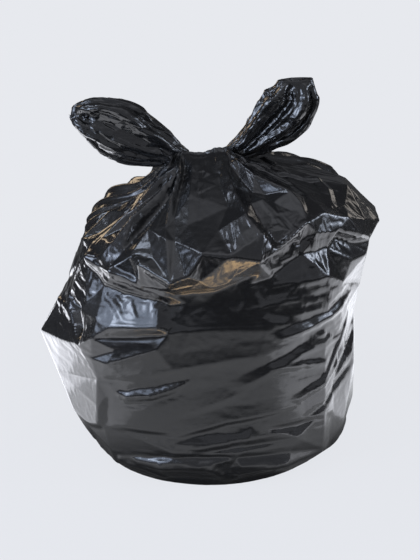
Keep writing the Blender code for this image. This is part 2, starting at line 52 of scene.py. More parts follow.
def addNode(tree, kind, settings=None, links=None):
    # one node, its properties or socket values, and what feeds it
    node = tree.nodes.new(kind)
    for name, value in (settings or {}).items():
        if isinstance(name, int) or name in node.inputs:
            node.inputs[name].default_value = value
        else:
            setattr(node, name, value)
    for name, source in (links or {}).items():
        tree.links.new(source, node.inputs[name])
    return node


film = {
    # hoops of film from the floor up: reach from the knot's axis and height, in mm, at eight compass
    # points from the front by way of the right, and how softly the film turns there
    "hoops": (
        ((190, 199, 214, 190, 176, 168, 157, 182), (0, 0, 0, 0, 0, 0, 0, 0), 0.2),
        ((200, 221, 236, 208, 196, 190, 176, 202), (38, 28, 22, 30, 36, 34, 28, 28), 0.6),
        ((202, 228, 238, 228, 206, 210, 203, 227), (92, 88, 80, 88, 94, 88, 86, 86), 1.0),
        ((200, 228, 235, 232, 208, 222, 240, 230), (172, 168, 168, 170, 172, 168, 178, 172), 0.7),
        ((202, 225, 238, 236, 208, 214, 206, 229), (262, 256, 244, 250, 250, 244, 238, 238), 0.2),
        ((195, 216, 247, 237, 208, 208, 190, 206), (300, 320, 306, 300, 298, 288, 286, 284), 0.8),
        ((197, 208, 256, 236, 210, 206, 184, 200), (326, 360, 334, 328, 320, 312, 312, 314), 0.8),
        ((213, 211, 264, 230, 208, 198, 177, 208), (345, 382, 352, 350, 342, 334, 332, 335), 0.3),
        ((204, 196, 244, 216, 194, 178, 158, 196), (368, 404, 383, 374, 366, 352, 351, 358), 1.0),
        ((162, 160, 202, 176, 152, 124, 108, 154), (398, 420, 405, 402, 392, 371, 371, 385), 1.0),
        ((108, 110, 138, 118, 102, 88, 73, 100), (426, 434, 422, 421, 412, 399, 398, 411), 1.0),
        ((56, 62, 70, 62, 54, 56, 54, 56), (447, 452, 443, 440, 434, 432, 436, 442), 1.0),
    ),
    "lip": 7,
    "gather": 11,
    "columns": 672,
    # distance between rows, in mm, by level
    "rowLevels": (0, 1, 5, 6.5, 7.5, 9, 11),
    "rowGaps": (2.9, 2.9, 2.9, 2.2, 2.0, 2.1, 1.5),
    "neckHalfWidth": 40, "neckHalfDepth": 15, "neckHeight": 455,
    "crestHalfWidth": 36, "crestHalfDepth": 8, "crestHeight": 459,
    # how much the crest of the knot stands up at the right and sinks at the back, over how many mm it
    # rises, and how flat the knot is drawn
    "crestRise": 7, "crestFall": 10, "crestSlope": 22, "pull": 5.0,
    "neckRows": 9, "crestRows": 4,
    # level at which the body piece ends and the cap piece begins, out of sight under the lip
    "parting": 6.5,
    # how far inside its ends, in mm, each piece is drawn together to close it
    "bodyHubs": (0, 12), "capHubs": (12, 6), "earHubs": (2, 0),
}


def between(before, start, end, after, share, startSoftness=1.0, endSoftness=1.0):
    # a smooth curve through four values, read between the middle two; softness 0 leaves a corner
    square = share * share
    cube = square * share
    leave = (end - before) * 0.5 * startSoftness
    arrive = (after - start) * 0.5 * endSoftness
    return (
        (2 * cube - 3 * square + 1) * start + (cube - 2 * square + share) * leave
        + (3 * square - 2 * cube) * end + (cube - square) * arrive
    )


def roundCompass(values, angles):
    # values at evenly spaced compass points, read at any angle in degrees
    values = np.asarray(values, float)
    count = values.shape[-1]
    place = (np.asarray(angles) / 360 * count) % count
    first = place.astype(int)
    four = [values[..., (first + step) % count] for step in (-1, 0, 1, 2)]
    return between(*four, place - first)


def upHoops(levels, angles):
    # reach and height of the film at any level and compass angle
    reach = roundCompass([hoop[0] for hoop in film["hoops"]], angles)
    height = roundCompass([hoop[1] for hoop in film["hoops"]], angles)
    softness = np.array([hoop[2] for hoop in film["hoops"]])
    last = len(softness) - 1
    levels = np.asarray(levels, float)
    first = np.clip(levels.astype(int), 0, last - 1)
    share = (levels - first)[:, None]
    rows = [np.clip(first + step, 0, last) for step in (-1, 0, 1, 2)]
    soft = softness[first][:, None], softness[first + 1][:, None]
    return (
        between(*(reach[row] for row in rows), share, *soft),
        np.maximum(between(*(height[row] for row in rows), share, *soft), 0),
    )


def neckX(angles, halfWidth):
    # the neck is drawn flat, so its film crowds towards the two ends
    return halfWidth * np.tanh(film["pull"] * np.sin(np.radians(angles)))


def filmPoints(levels, angles):
    # the smooth film, before pleats and folds: an array of rows by columns by xyz, in mm
    reach, height = upHoops(levels, angles)
    turn = np.radians(angles)
    lipReach = roundCompass(film["hoops"][film["lip"]][0], angles)
    above = np.asarray(levels)[:, None] > film["lip"]
    drawn = np.where(above, np.maximum(0, (lipReach - reach) / lipReach), 0)
    x = reach * np.sin(turn)
    x += (neckX(angles, film["neckHalfWidth"]) - film["neckHalfWidth"] * np.sin(turn)) * drawn
    return np.stack((x, -reach * np.cos(turn), height), axis=-1)


def neckRing(angles, halfWidth, halfDepth, height, rise, fall):
    # one ring of film round the knot
    x = neckX(angles, halfWidth)
    front = np.cos(np.radians(angles))
    lift = rise * np.clip(x / film["crestSlope"], 0, 1) - fall * (1 - front) / 2
    return np.stack((x, -halfDepth * front, height + lift), axis=-1)


def rowPlan():
    # levels at which rows lie, so that they are evenly spaced over the film
    fine = np.linspace(0, film["gather"], 1101)
    points = filmPoints(fine, np.arange(0, 360, 5.0))
    steps = np.linalg.norm(np.diff(points, axis=0), axis=-1).mean(axis=1)
    middle = (fine[1:] + fine[:-1]) / 2
    count = np.concatenate(((0,), np.cumsum(steps / np.interp(middle, film["rowLevels"], film["rowGaps"]))))
    rows = int(round(count[-1]))
    return np.interp(np.linspace(0, count[-1], rows + 1), count, fine)


angles = np.arange(film["columns"]) * 360.0 / film["columns"]
levels = rowPlan()
smooth = filmPoints(levels, angles)
neck = neckRing(angles, film["neckHalfWidth"], film["neckHalfDepth"], film["neckHeight"],
                film["crestRise"] * 0.7, film["crestFall"])
crest = neckRing(angles, film["crestHalfWidth"], film["crestHalfDepth"], film["crestHeight"],
                 film["crestRise"], film["crestFall"])


def rowsTowards(start, end, count):
    # evenly spaced rows from one ring to the next
    return [start + (end - start) * step / count for step in range(1, count + 1)]


smooth = np.concatenate((smooth, rowsTowards(smooth[-1], neck, film["neckRows"]),
                         rowsTowards(neck, crest, film["crestRows"])))
knotRows = film["neckRows"] + film["crestRows"]
allLevels = np.concatenate((levels, film["gather"] + np.arange(1, knotRows + 1) / knotRows))
print("film:", smooth.shape[0], "rows,", smooth.shape[1], "columns")


def normalsOf(points):
    # which way the film faces at each point of a grid that is closed round its columns
    along = np.empty_like(points)
    along[1:-1] = points[2:] - points[:-2]
    along[0] = points[1] - points[0]
    along[-1] = points[-1] - points[-2]
    across = np.roll(points, -1, axis=1) - np.roll(points, 1, axis=1)
    normals = np.cross(across, along)
    return normals / np.maximum(np.linalg.norm(normals, axis=-1, keepdims=True), 1e-9)


pleats = {
    # compass angle and height, in mm, of each ridge between the knot and the lip
    "ridges": (
        (-98, 7), (-86, 8), (-70, 8), (-53, 10), (-38, 5), (-26, 5), (-13, 9), (5, 2), (24, 10), (36, 5),
        (49, 8), (66, 6), (84, 6), (104, 5), (116, 10), (131, 8), (148, 13), (160, 7), (174, 12),
        (186, 8), (204, 14), (217, 7), (233, 12), (247, 8),
    ),
    # level at which the pleats begin, at the same eight compass points as the hoops
    "start": (5.7, 6.6, 7.0, 7.2, 7.3, 7.2, 6.4, 5.6),
    # depth of the valleys as a share of the ridges' height
    "valley": 0.45,
    "sharpness": 1.5,
}


def pleatHeights(angles, levels):
    # how far the pleats stand off the smooth film, in mm
    ridges = np.array(pleats["ridges"], float)
    order = np.argsort(ridges[:, 0] % 360)
    at, size = (ridges[:, 0] % 360)[order], ridges[order, 1]
    at = np.concatenate((at[-1:] - 360, at, at[:1] + 360))
    size = np.concatenate((size[-1:], size, size[:1]))
    after = np.searchsorted(at, angles % 360, side="right")
    before = after - 1
    share = (angles % 360 - at[before]) / (at[after] - at[before])
    near = np.where(share < 0.5, size[before], size[after])
    valley = -pleats["valley"] * (size[before] + size[after]) / 2
    crest = (1 - 2 * np.minimum(share, 1 - share)) ** pleats["sharpness"]
    profile = valley + (near - valley) * crest
    start = roundCompass(pleats["start"], angles)
    rise = np.clip((levels[:, None] - start) / (film["gather"] - start), 0, 1)
    swell = np.sin(math.pi * rise ** 0.8 * 0.9) ** 0.9
    return profile * swell


pleated = smooth + normalsOf(smooth) * pleatHeights(angles, allLevels)[..., None]


def surfaceAt(points, angle, level):
    # the film's place, or its facing, at a compass angle and level
    column = (angle % 360) / 360 * film["columns"]
    row = np.interp(level, allLevels, np.arange(len(allLevels)))
    low, left = int(min(row, len(allLevels) - 2)), int(column) % film["columns"]
    up, along = row - low, column - int(column)
    right = (left + 1) % film["columns"]
    return (
        (points[low, left] * (1 - along) + points[low, right] * along) * (1 - up)
        + (points[low + 1, left] * (1 - along) + points[low + 1, right] * along) * up
    )


otherLayer = 30  # mm
stepsPerLeg = 12


def alongPath(path):
    # small steps from each point of a path to the next, without the last point
    steps = []
    for (angleA, levelA), (angleB, levelB) in zip(path, path[1:]):
        for step in range(stepsPerLeg):
            share = step / stepsPerLeg
            steps.append((angleA + (angleB - angleA) * share, levelA + (levelB - levelA) * share))
    return steps


def pressAlong(points, normals, dense, leftWidth, rightWidth, height, power, taper):
    # lifts or sinks the film along a line of points, with its own width on either side
    across = max(leftWidth, rightWidth)
    near = np.all((points > dense.min(axis=0) - across) & (points < dense.max(axis=0) + across), axis=-1)
    spots, facing = points[near], normals[near]
    best = np.full(len(spots), 1e9)
    signed = np.zeros(len(spots))
    place = np.zeros(len(spots))
    for number, (start, end) in enumerate(zip(dense, dense[1:])):
        step = end - start
        length = max(float(step @ step), 1e-9)
        share = np.clip((spots - start) @ step / length, 0, 1)
        gap = spots - (start + share[:, None] * step)
        rise = np.sum(gap * facing, axis=1)
        gap -= facing * rise[:, None]
        # film that lies more than so many mm above or below the line belongs to another layer
        away = np.linalg.norm(gap, axis=1) + np.maximum(0, np.abs(rise) - otherLayer)
        closer = away < best
        side = np.sign(np.sum(np.cross(facing, step) * gap, axis=1))
        best = np.where(closer, away, best)
        signed = np.where(closer, side, signed)
        place = np.where(closer, (number + share) / (len(dense) - 1), place)
    width = np.where(signed > 0, leftWidth, rightWidth)
    shape = np.clip(1 - best / width, 0, 1) ** power
    fade = np.sin(math.pi * (taper + (1 - 2 * taper) * place))
    points[near] = spots + facing * (height * fade * shape)[:, None]


def pressFold(points, path, leftWidth, rightWidth, height, power=1.4, taper=0.12):
    # a fold along a path of compass angle and level
    dense = np.array([surfaceAt(points, *place) for place in (*alongPath(path), path[-1])])
    pressAlong(points, normalsOf(points), dense, leftWidth, rightWidth, height, power, taper)


facets = {
    # flat panels of tight film between creases. Each net has an edge of (compass angle, level), where the
    # film stays as it is, corners of (compass angle, level, push outward in mm, and lift in mm if any), and
    # creases that run through the corners named in each line
    "leftCorner": {
        "edge": (
            (-112, 3.0), (-112, 5.0), (-104, 7.2), (-84, 7.6), (-66, 7.5), (-50, 7.3), (-36, 7.2),
            (-24, 7.3), (-12, 6.8), (-6, 5.2), (-4, 4.2), (-12, 3.3), (-28, 3.0), (-36, 2.5), (-37, 1.7),
            (-41, 1.0), (-60, 0.8), (-88, 1.0), (-106, 1.8),
        ),
        "corners": {
            "tip": (-79, 3.02, 12, 7), "side": (-89, 3.9, 6), "upperSide": (-92, 4.9, 5),
            "topSide": (-86, 6.0, 2), "hollow": (-71, 3.7, 1), "spur": (-76, 4.4, 7),
            "brink": (-64, 3.35, 5), "dip": (-60, 3.8, -4), "brinkEnd": (-50, 3.55, 5),
            "flapTop": (-57, 6.6, 2), "flapRight": (-49.5, 6.3, 0), "flapLow": (-68.5, 4.55, 6),
            "flapFoot": (-50.5, 4.75, 8), "slotTop": (-58, 4.5, -26), "slotLow": (-56, 3.95, -22),
            "lugTop": (-52.5, 4.55, 8), "lugLow": (-49.5, 4.05, -1), "lugRight": (-42.5, 4.5, 8),
            "lugFoot": (-42.5, 3.9, 7), "ledgeLeft": (-35.9, 4.35, 8), "ledge": (-26, 4.38, 7),
            "ledgeRight": (-17, 4.36, 9), "panelEdge": (-13.5, 4.5, -1),
            "panelEdgeHigh": (-13.5, 5.1, -1), "ledgeFoot": (-13.5, 4.1, 0), "shelfLeft": (-34, 4.13, -3),
            "shelf": (-26, 4.13, -5), "shelfRight": (-18, 4.12, -3), "sagLeft": (-43.4, 3.42, 6),
            "sag": (-36.5, 3.4, 8), "sagInner": (-34, 3.62, 1), "sagRight": (-18, 3.65, 3),
            "edgeHigh": (-41, 3.0, 6), "edgeMiddle": (-41, 2.5, 8), "edgeLow": (-42, 2.0, 8),
            "edgeFoot": (-43, 1.5, 6), "belly": (-70, 2.5, 5), "bellyLow": (-61, 2.0, 4),
            "bellyFoot": (-51, 1.5, 3), "panelRight": (-17.5, 4.95, 5), "valleyLeft": (-44, 5.7, 1),
            "valley": (-33, 5.7, 1), "valleyRight": (-20, 5.4, 0),
        },
        "creases": (
            "tip brink brinkEnd lugFoot", "tip side", "lugTop lugRight ledgeLeft ledge ledgeRight",
            "flapLow lugTop", "flapTop flapLow", "flapFoot flapRight", "slotTop slotLow",
            "sagLeft sag sagRight", "valleyLeft valley valleyRight", "flapFoot valleyLeft",
            "tip spur upperSide", "sagLeft edgeHigh", "ledgeRight panelRight",
            "shelfLeft shelf shelfRight", "panelEdge panelEdgeHigh",
            "edgeHigh edgeMiddle edgeLow edgeFoot", "tip belly bellyLow bellyFoot",
        ),
    },
    "front": {
        "edge": (
            (-78, 7.6), (-84, 8.6), (-82, 9.7), (-66, 10.7), (-40, 11.3), (-14, 11.75), (6, 11.8),
            (24, 11.7), (46, 11.35), (66, 10.75), (68, 9.9), (60, 9.0), (50, 8.3), (38, 7.4), (33, 6.8),
            (24, 5.7), (6, 5.5), (-10, 5.6), (-26, 6.3), (-40, 7.15), (-56, 7.35), (-68, 7.35),
        ),
        "corners": {
            "tubeTop": (-24, 11.1, 5), "tubeHigh": (-46, 10.55, 9), "tube": (-62, 9.7, 10),
            "tubeLow": (-69, 8.7, 9), "tubeEnd": (-67.5, 7.6, 5), "gutterTop": (-27, 10.85, -5),
            "gutterHigh": (-42, 10.2, -6), "gutter": (-55, 9.4, -7), "gutterLow": (-60, 8.5, -5),
            "secondTop": (-38, 10.15, 1), "second": (-50, 9.3, 5), "secondLow": (-58, 8.3, 5),
            "trough": (-44, 9.2, -5), "troughLow": (-51, 8.3, -4), "troughTop": (-35, 10.15, -4),
            "thirdTop": (-21, 10.85, 4), "thirdHigh": (-32, 10.2, 8), "third": (-38, 9.2, 9),
            "thirdLow": (-42, 8.3, 6), "thirdEnd": (-46, 7.5, 4), "cleftTop": (-17.5, 10.8, -6),
            "cleft": (-28, 10.0, -9), "cleftLow": (-33, 9.1, -9), "cleftEnd": (-35, 8.3, -3),
            "flatLeft": (-26, 9.0, 1), "flatHigh": (-20, 10.0, 1), "flatLow": (-30, 8.1, 2),
            "flatFoot": (-20, 8.2, 3), "fourthTop": (-13.5, 11.0, 5), "fourth": (-15.5, 10.1, 5),
            "fourthLow": (-16, 9.1, 3), "slitTop": (-9.5, 11.2, -6), "slit": (-11.5, 10.3, -8),
            "slitLow": (-12, 9.4, -7), "slitEnd": (-11, 8.7, -2), "spine": (-14.2, 8.7, 3),
            "middleTop": (-5, 11.2, 4), "middle": (-6, 10.1, 4), "middleLow": (-6, 9.2, 3),
            "softTop": (4, 11.2, 0), "soft": (9, 10.3, -1), "softLow": (12, 9.6, 1),
            "middleRight": (6, 8.9, 3), "bladeTop": (9.5, 11.4, 4), "blade": (19.5, 9.9, 6),
            "bladeWide": (22, 9.0, 9), "bladeEnd": (24, 8.1, 9), "bladeBack": (25.5, 9.4, 0),
            "bladeFoot": (27.5, 8.3, -2), "gapTop": (24, 11.2, -5), "gap": (31, 10.6, -8),
            "gapLow": (33, 9.9, -6), "hub": (41, 11.1, 6), "roll": (47, 10.3, 8),
            "rollHigh": (40, 10.7, 7), "rollEnd": (49.5, 9.2, 7), "rollUnder": (42, 9.7, -3),
            "rollBack": (55, 9.9, 0), "patch": (35, 9.35, 4), "patchRight": (40, 9.2, 1),
            "patchLow": (38, 8.7, -3), "seam": (44, 8.6, 3), "seamLow": (38.5, 7.75, 2),
            "scallopLeft": (-25, 7.85, 5), "scallop": (-12.3, 7.25, 12), "turn": (-6.4, 7.5, 12),
            "brimLeft": (1, 8.15, 17), "brim": (10.2, 7.9, 16), "brimRight": (22, 7.25, 8),
            "tuckLeft": (-13, 6.7, 0), "tuck": (-1, 6.85, -1), "tuckRight": (11.8, 6.45, 1),
        },
        "creases": (
            "tubeTop tubeHigh tube tubeLow tubeEnd", "gutterTop gutterHigh gutter gutterLow",
            "secondTop second secondLow", "troughTop trough troughLow",
            "thirdTop thirdHigh third thirdLow thirdEnd", "cleftTop cleft cleftLow cleftEnd",
            "fourthTop fourth fourthLow", "slitTop slit slitLow slitEnd", "spine scallop",
            "middleTop middle middleLow", "softTop soft softLow", "bladeTop blade bladeWide bladeEnd",
            "bladeBack bladeFoot", "gapTop gap gapLow", "hub rollHigh roll rollEnd", "rollUnder gapLow",
            "seam seamLow", "scallopLeft scallop turn brimLeft brim brimRight",
            "tuckLeft tuck tuckRight brimRight", "turn tuck",
        ),
    },
    "blade": {
        "edge": (
            (-38, 2.45), (-38.5, 3.05), (-28, 3.2), (-12, 3.35), (5, 3.45), (5, 3.05), (-6, 2.8),
            (-20, 2.5),
        ),
        "corners": {
            "start": (-35.4, 2.78, 1), "rise": (-30, 2.71, 4), "high": (-21, 2.78, 5.5),
            "fall": (-13.4, 2.94, 4), "end": (-3, 3.18, 1), "startTop": (-30, 2.81, 0),
            "topLeft": (-26, 2.9, 0), "top": (-20, 2.93, 0), "topRight": (-12, 3.06, 0),
            "underLeft": (-30, 2.6, 0), "under": (-20, 2.66, 0), "underRight": (-11, 2.83, 0),
        },
        "creases": (
            "start rise high fall end", "start startTop topLeft top topRight end",
            "underLeft under underRight",
        ),
    },
    "keel": {
        "edge": ((-54, 1.9), (-40, 2.2), (-10, 2.1), (20, 2.2), (50, 2.2), (68, 1.9), (70, 0.9), (60, 0.25),
                 (40, 0.1), (10, 0.08), (-20, 0.08), (-44, 0.2), (-56, 0.8)),
        "corners": {
            "tuckLeft": (-39, 1.5, 5), "tuck": (-12, 1.6, 6), "tuckRight": (16, 1.6, 5),
            "tuckEnd": (38, 1.8, 4), "underLeft": (-30, 1.3, 1), "under": (-12, 1.38, 1),
            "underRight": (14, 1.42, 2), "underEnd": (36, 1.45, 2), "keelLeft": (-38, 0.98, 9),
            "topLeft": (-18, 1.12, 10), "top": (-2, 1.14, 9), "pinch": (2, 1.06, 7),
            "topRight": (16, 1.22, 9), "keelRight": (34, 1.1, 10), "lowLeft": (-16.5, 0.5, 2),
            "low": (-2, 0.52, 1), "pinchLow": (7.5, 0.6, 3), "lowRight": (14, 0.5, 2),
            "pinchRight": (5, 1.1, 2), "dent": (11, 0.95, 0), "rightEdge": (52, 1.25, 5),
            "rightLow": (48, 0.8, 0),
        },
        "creases": (
            "tuckLeft tuck tuckRight tuckEnd", "underLeft under underRight underEnd",
            "keelLeft topLeft top pinch pinchLow", "pinchRight pinchLow",
            "keelLeft lowLeft low pinchLow lowRight keelRight", "topRight keelRight rightEdge",
        ),
    },
    "rightShoulder": {
        "edge": (
            (22, 6.9), (30, 7.6), (46, 8.3), (56, 9.1), (66, 10.0), (80, 10.6), (96, 10.4), (114, 9.6),
            (118, 7.5), (114, 5.2), (100, 4.0), (80, 3.4), (60, 3.4), (40, 3.8), (24, 4.3), (18, 5.5),
        ),
        "corners": {
            "corner": (55, 8.0, 7), "lipLeft": (27, 7.15, 4), "lipMiddle": (36.4, 7.5, 5),
            "lipRight": (46, 7.8, 5), "creaseLow": (59.5, 8.6, 3), "creaseMiddle": (69.6, 9.2, 0),
            "creaseTop": (80, 9.9, 4), "rim": (65, 7.7, 3), "rimMiddle": (74.5, 7.5, 3),
            "point": (86, 7.0, 1), "back": (98, 7.1, 2), "top": (84, 8.8, 5), "topBack": (98, 8.9, 5),
            "saddle": (71, 8.3, 0), "tuckLeft": (29, 6.75, -9), "tuck": (36, 6.95, -12),
            "tuckRight": (43, 7.05, -11), "underLeft": (50, 7.2, -6), "under": (59, 7.1, 0),
            "underRight": (69, 6.7, 8), "side": (86, 6.1, -4), "sideLow": (86, 5.0, -3),
            "sideFoot": (84, 4.3, 0), "foldTop": (76, 6.1, 7), "foldTurn": (74, 5.35, 11),
            "foldMiddle": (65, 5.3, 9), "foldEnd": (61, 4.7, 4), "pit": (60, 6.3, -12),
            "crumpleTop": (55.5, 5.9, -3), "crumpleLow": (52, 5.0, 9), "pitLow": (67, 5.95, -4),
            "wallTop": (43, 5.9, -3), "wall": (40, 5.0, 1), "wallLeft": (29, 5.5, -3),
            "ridge": (52, 4.3, 5), "nape": (108, 7.1, 0), "napeTop": (106, 8.4, 0),
            "napeMiddle": (106, 6.2, -1), "napeLow": (101, 5.2, -2),
        },
        "creases": (
            "corner lipRight lipMiddle lipLeft", "corner creaseLow creaseMiddle creaseTop",
            "corner rim rimMiddle point back", "foldTop foldTurn foldMiddle foldEnd",
            "crumpleTop crumpleLow ridge", "underLeft under underRight",
            "tuckLeft tuck tuckRight underLeft",
        ),
    },
    "back": {
        "middle": 180,
        "soft": 14,
        "edge": (
            (102, 1.4), (102, 3.0), (110, 4.8), (116, 6.4), (128, 7.4), (160, 7.6), (185, 7.5),
            (212, 7.6), (236, 7.3), (251, 6.2), (251, 4.6), (251, 3.0), (249, 1.4), (230, 0.5),
            (200, 0.35), (170, 0.4), (140, 0.35), (116, 0.7),
        ),
        "corners": {
            "knuckle": (130, 4.5, 9), "knuckleHigh": (125, 5.7, 3), "boxTop": (197, 3.6, 9),
            "boxFoot": (190, 1.6, 4), "elbow": (228, 5.1, 8), "lump": (160, 2.1, 7),
            "heel": (237, 2.0, 7), "hip": (168, 5.9, 7), "rib": (208, 6.2, 3), "toe": (119, 2.3, 6),
            "fold": (150, 3.5, -5), "foldLow": (141, 2.7, -4), "hollow": (170, 4.2, -5),
            "hollowHigh": (190, 5.8, -3), "groove": (212, 4.1, -5), "grooveLow": (216, 2.7, -5),
            "dip": (178, 2.8, -3), "neckline": (147, 5.6, -4), "seam": (118, 3.6, -4),
            "seamHigh": (241, 3.9, -5), "crease": (139, 1.3, -3), "creaseFoot": (208, 1.2, -4),
            "brow": (142, 6.9, 3), "browDip": (156, 7.0, -4), "ridge": (176, 6.95, 7),
            "ridgeDip": (197, 7.05, -3), "shoulder": (222, 6.85, 7), "shoulderDip": (238, 6.3, -2),
        },
        "creases": (
            "knuckle knuckleHigh", "knuckle fold foldLow", "hip boxTop boxFoot", "groove grooveLow",
            "elbow boxTop", "elbow shoulder", "lump boxFoot", "lump toe", "elbow heel",
            "neckline browDip", "hip ridge",
        ),
    },
    "rightSide": {
        "soft": 8,
        "edge": (
            (55, 0.9), (54, 2.2), (57, 3.3), (68, 3.9), (84, 4.3), (100, 4.7), (110, 4.6), (113, 3.0),
            (110, 1.5), (98, 0.6), (76, 0.45), (62, 0.5),
        ),
        "corners": {
            "bulge": (73, 2.7, 5), "dent": (87, 3.4, -4), "knee": (99, 2.5, 6), "dentLow": (84, 1.7, -3),
            "cheek": (66, 1.6, 3), "back": (105, 3.6, 3), "pinch": (64, 3.1, -4), "foot": (97, 1.2, 2),
        },
        "creases": (
            "pinch bulge dentLow", "dent knee foot", "bulge knee",
        ),
    },
}
arc = np.concatenate(((0,), np.cumsum(np.linalg.norm(np.diff(smooth, axis=0), axis=-1).mean(axis=1))))
mmPerDegree = 3.7
facetFade = 14  # mm over which a net's rim runs out into the film round it


def laidFlat(angle, level):
    # the film laid flat, in mm: across and up
    return np.asarray(angle) * mmPerDegree, np.interp(level, allLevels, arc)


def cornerShares(x, y, corners):
    # how much of each of a triangle's three corners there is at every x and y
    (ax, ay), (bx, by), (cx, cy) = corners
    area = (bx - ax) * (cy - ay) - (cx - ax) * (by - ay)
    first = ((bx - x) * (cy - y) - (cx - x) * (by - y)) / area
    second = ((cx - x) * (ay - y) - (ax - x) * (cy - y)) / area
    return first, second, 1 - first - second


def pressFacets(points, net):
    # the film between the corners is drawn flat, triangle by triangle
    normals = normalsOf(points)
    names = list(net["corners"])
    flat, solid = [], []
    for angle, level in net["edge"]:
        flat.append(Vector(laidFlat(angle, level)))
        solid.append(surfaceAt(points, angle, level))
    for name in names:
        angle, level, push, *lift = net["corners"][name]
        flat.append(Vector(laidFlat(angle, level)))
        solid.append(surfaceAt(points, angle, level) + surfaceAt(normals, angle, level) * push
                     + np.array((0, 0, sum(lift))))
    rim = len(net["edge"])
    lines = [(here, (here + 1) % rim) for here in range(rim)]
    for crease in net["creases"]:
        stops = [rim + names.index(name) for name in crease.split()]
        lines += zip(stops, stops[1:])
    cut = delaunay_2d_cdt(flat, lines, [], 1, 1e-4)
    spots, triangles = cut[0], cut[2]
    solid = [solid[source[0]] if source else None for source in cut[3]]
    middle = net.get("middle", 0)
    across, up = laidFlat(((angles - middle + 180) % 360 - 180 + middle)[None, :], allLevels[:, None])
    across, up = np.broadcast_arrays(across, up)
    moved = points.copy()
    held = np.zeros(points.shape[:2], bool)
    inside = np.full(points.shape[:2], 1e9)
    for here in range(rim):
        start, end = np.array(flat[here]), np.array(flat[(here + 1) % rim])
        line = end - start
        right, above = across - start[0], up - start[1]
        share = np.clip((right * line[0] + above * line[1]) / (line @ line), 0, 1)
        inside = np.minimum(inside, np.hypot(right - share * line[0], above - share * line[1]))
    for triangle in triangles:
        shares = cornerShares(across, up, [spots[corner] for corner in triangle])
        within = np.all([share >= -1e-6 for share in shares], axis=0)
        a, b, c = (share[within][:, None] * solid[corner] for share, corner in zip(shares, triangle))
        moved[within] = a + b + c
        held |= within
    for again in range(net.get("soft", 0)):
        beside = np.roll(moved, 1, axis=1) + np.roll(moved, -1, axis=1)
        moved[1:-1] = (beside[1:-1] + moved[2:] + moved[:-2]) / 8 + moved[1:-1] / 2
    keep = (np.clip(inside / facetFade, 0, 1) * held)[..., None]
    points[:] = points + (moved - points) * keep * keep * (3 - 2 * keep)


# path of (compass angle, level), width on its left and right and height in mm, how sharp the fold is, and
# how much of it is left at its ends
folds = (
    # the edge at the right of the front, and the long swell over the blade
    (((50, 1.0), (50, 2.0), (49, 2.8), (50, 3.7)), 34, 30, 7, 1.3),
    (((-30, 3.15), (-14, 3.3), (5, 3.4), (24, 3.5)), 26, 18, 2.0, 1.3),
    # the rumpled panel above the ledge
    (((-44, 5.4), (-37, 5.0), (-32, 4.6)), 8, 8, -1.0, 1.0),
    (((-36, 5.3), (-33, 5.0), (-32, 4.7)), 5, 5, 0.9, 1.0),
    (((-30, 5.2), (-28, 4.8), (-26, 4.6)), 5, 5, 0.8, 1.0),
    (((-45, 6.2), (-36, 5.9), (-24, 5.6)), 7, 5, 4, 1.0),
    (((-60, 7.1), (-62, 6.3), (-66, 5.2)), 5, 5, 4, 1.0),
    (((-74, 6.4), (-76, 5.6), (-72, 5.0)), 8, 8, -5, 1.0),
    (((-92, 4.2), (-82, 4.6), (-74, 5.2)), 10, 10, -5),
    (((-84, 3.7), (-74, 3.9), (-66, 4.1)), 6, 6, 4, 1.0),
    # blades and shallow slants across the front wall
    (((-12, 2.0), (9, 2.3), (22, 2.4), (37, 2.5)), 24, 6, 2.4, 1.2),
    (((-10, 1.9), (10, 2.2), (30, 2.35)), 6, 20, -1.6),
    (((-3, 2.5), (9, 2.7), (17, 2.9)), 24, 8, 1.5, 1.2),
    (((15, 3.0), (29, 3.3), (47, 3.5)), 20, 10, 1.8),
    (((17, 3.25), (35, 3.5), (47, 3.7)), 14, 16, -2),
    (((28, 3.28), (39, 3.28), (50, 3.2)), 9, 5, 3, 1.1),
    (((31, 3.7), (44, 3.85), (67, 4.2)), 12, 8, 4, 1.1),
    (((30, 3.95), (46, 4.1), (64, 4.45)), 12, 12, -3),
    (((38, 2.6), (50, 2.8), (68, 3.2)), 12, 7, 4, 1.1),
    (((42, 2.2), (54, 2.45), (70, 2.7)), 10, 10, -4),
    (((49, 2.9), (58, 3.3), (70, 3.6)), 8, 8, 4, 1.0),
    (((58, 2.6), (66, 3.0), (80, 3.2)), 8, 9, -4),
    # the folds above the bottom
    (((-3, 1.7), (15, 1.9), (36, 2.0)), 20, 7, 2.5, 1.1),
    (((-4, 1.55), (14, 1.72), (38, 1.8)), 8, 14, -3),
    (((-36, 1.19), (-26, 0.82), (-17, 0.45)), 6, 6, 3.0, 1.0, 0.3),
    (((-36, 1.22), (-26, 1.26), (-16, 1.27), (-3, 1.33)), 6, 5, 3.0, 1.0, 0.25),
    (((2, 1.15), (5, 0.9), (8, 0.67)), 6, 6, 2.0, 1.0, 0.3),
    (((12, 0.75), (20, 0.9), (33, 1.2)), 6, 6, 3.0, 1.0, 0.3),
    # the right of the cap
    (((15, 11.8), (72, 11.1), (83, 10.5)), 6, 6, 5, 1.0),
    (((62, 10.9), (74, 10.2), (80, 9.4)), 7, 5, 6, 1.0),
    (((115, 10.8), (100, 10.5), (84, 10.2)), 6, 7, 6, 1.0),
    (((96, 10.2), (84, 9.8), (79, 9.4), (66, 8.5)), 9, 14, 5, 1.0),
)
target = pleated.copy()
for net in facets.values():
    pressFacets(target, net)
for fold in folds:
    pressFold(target, *fold)
print("folds drawn:", len(folds))


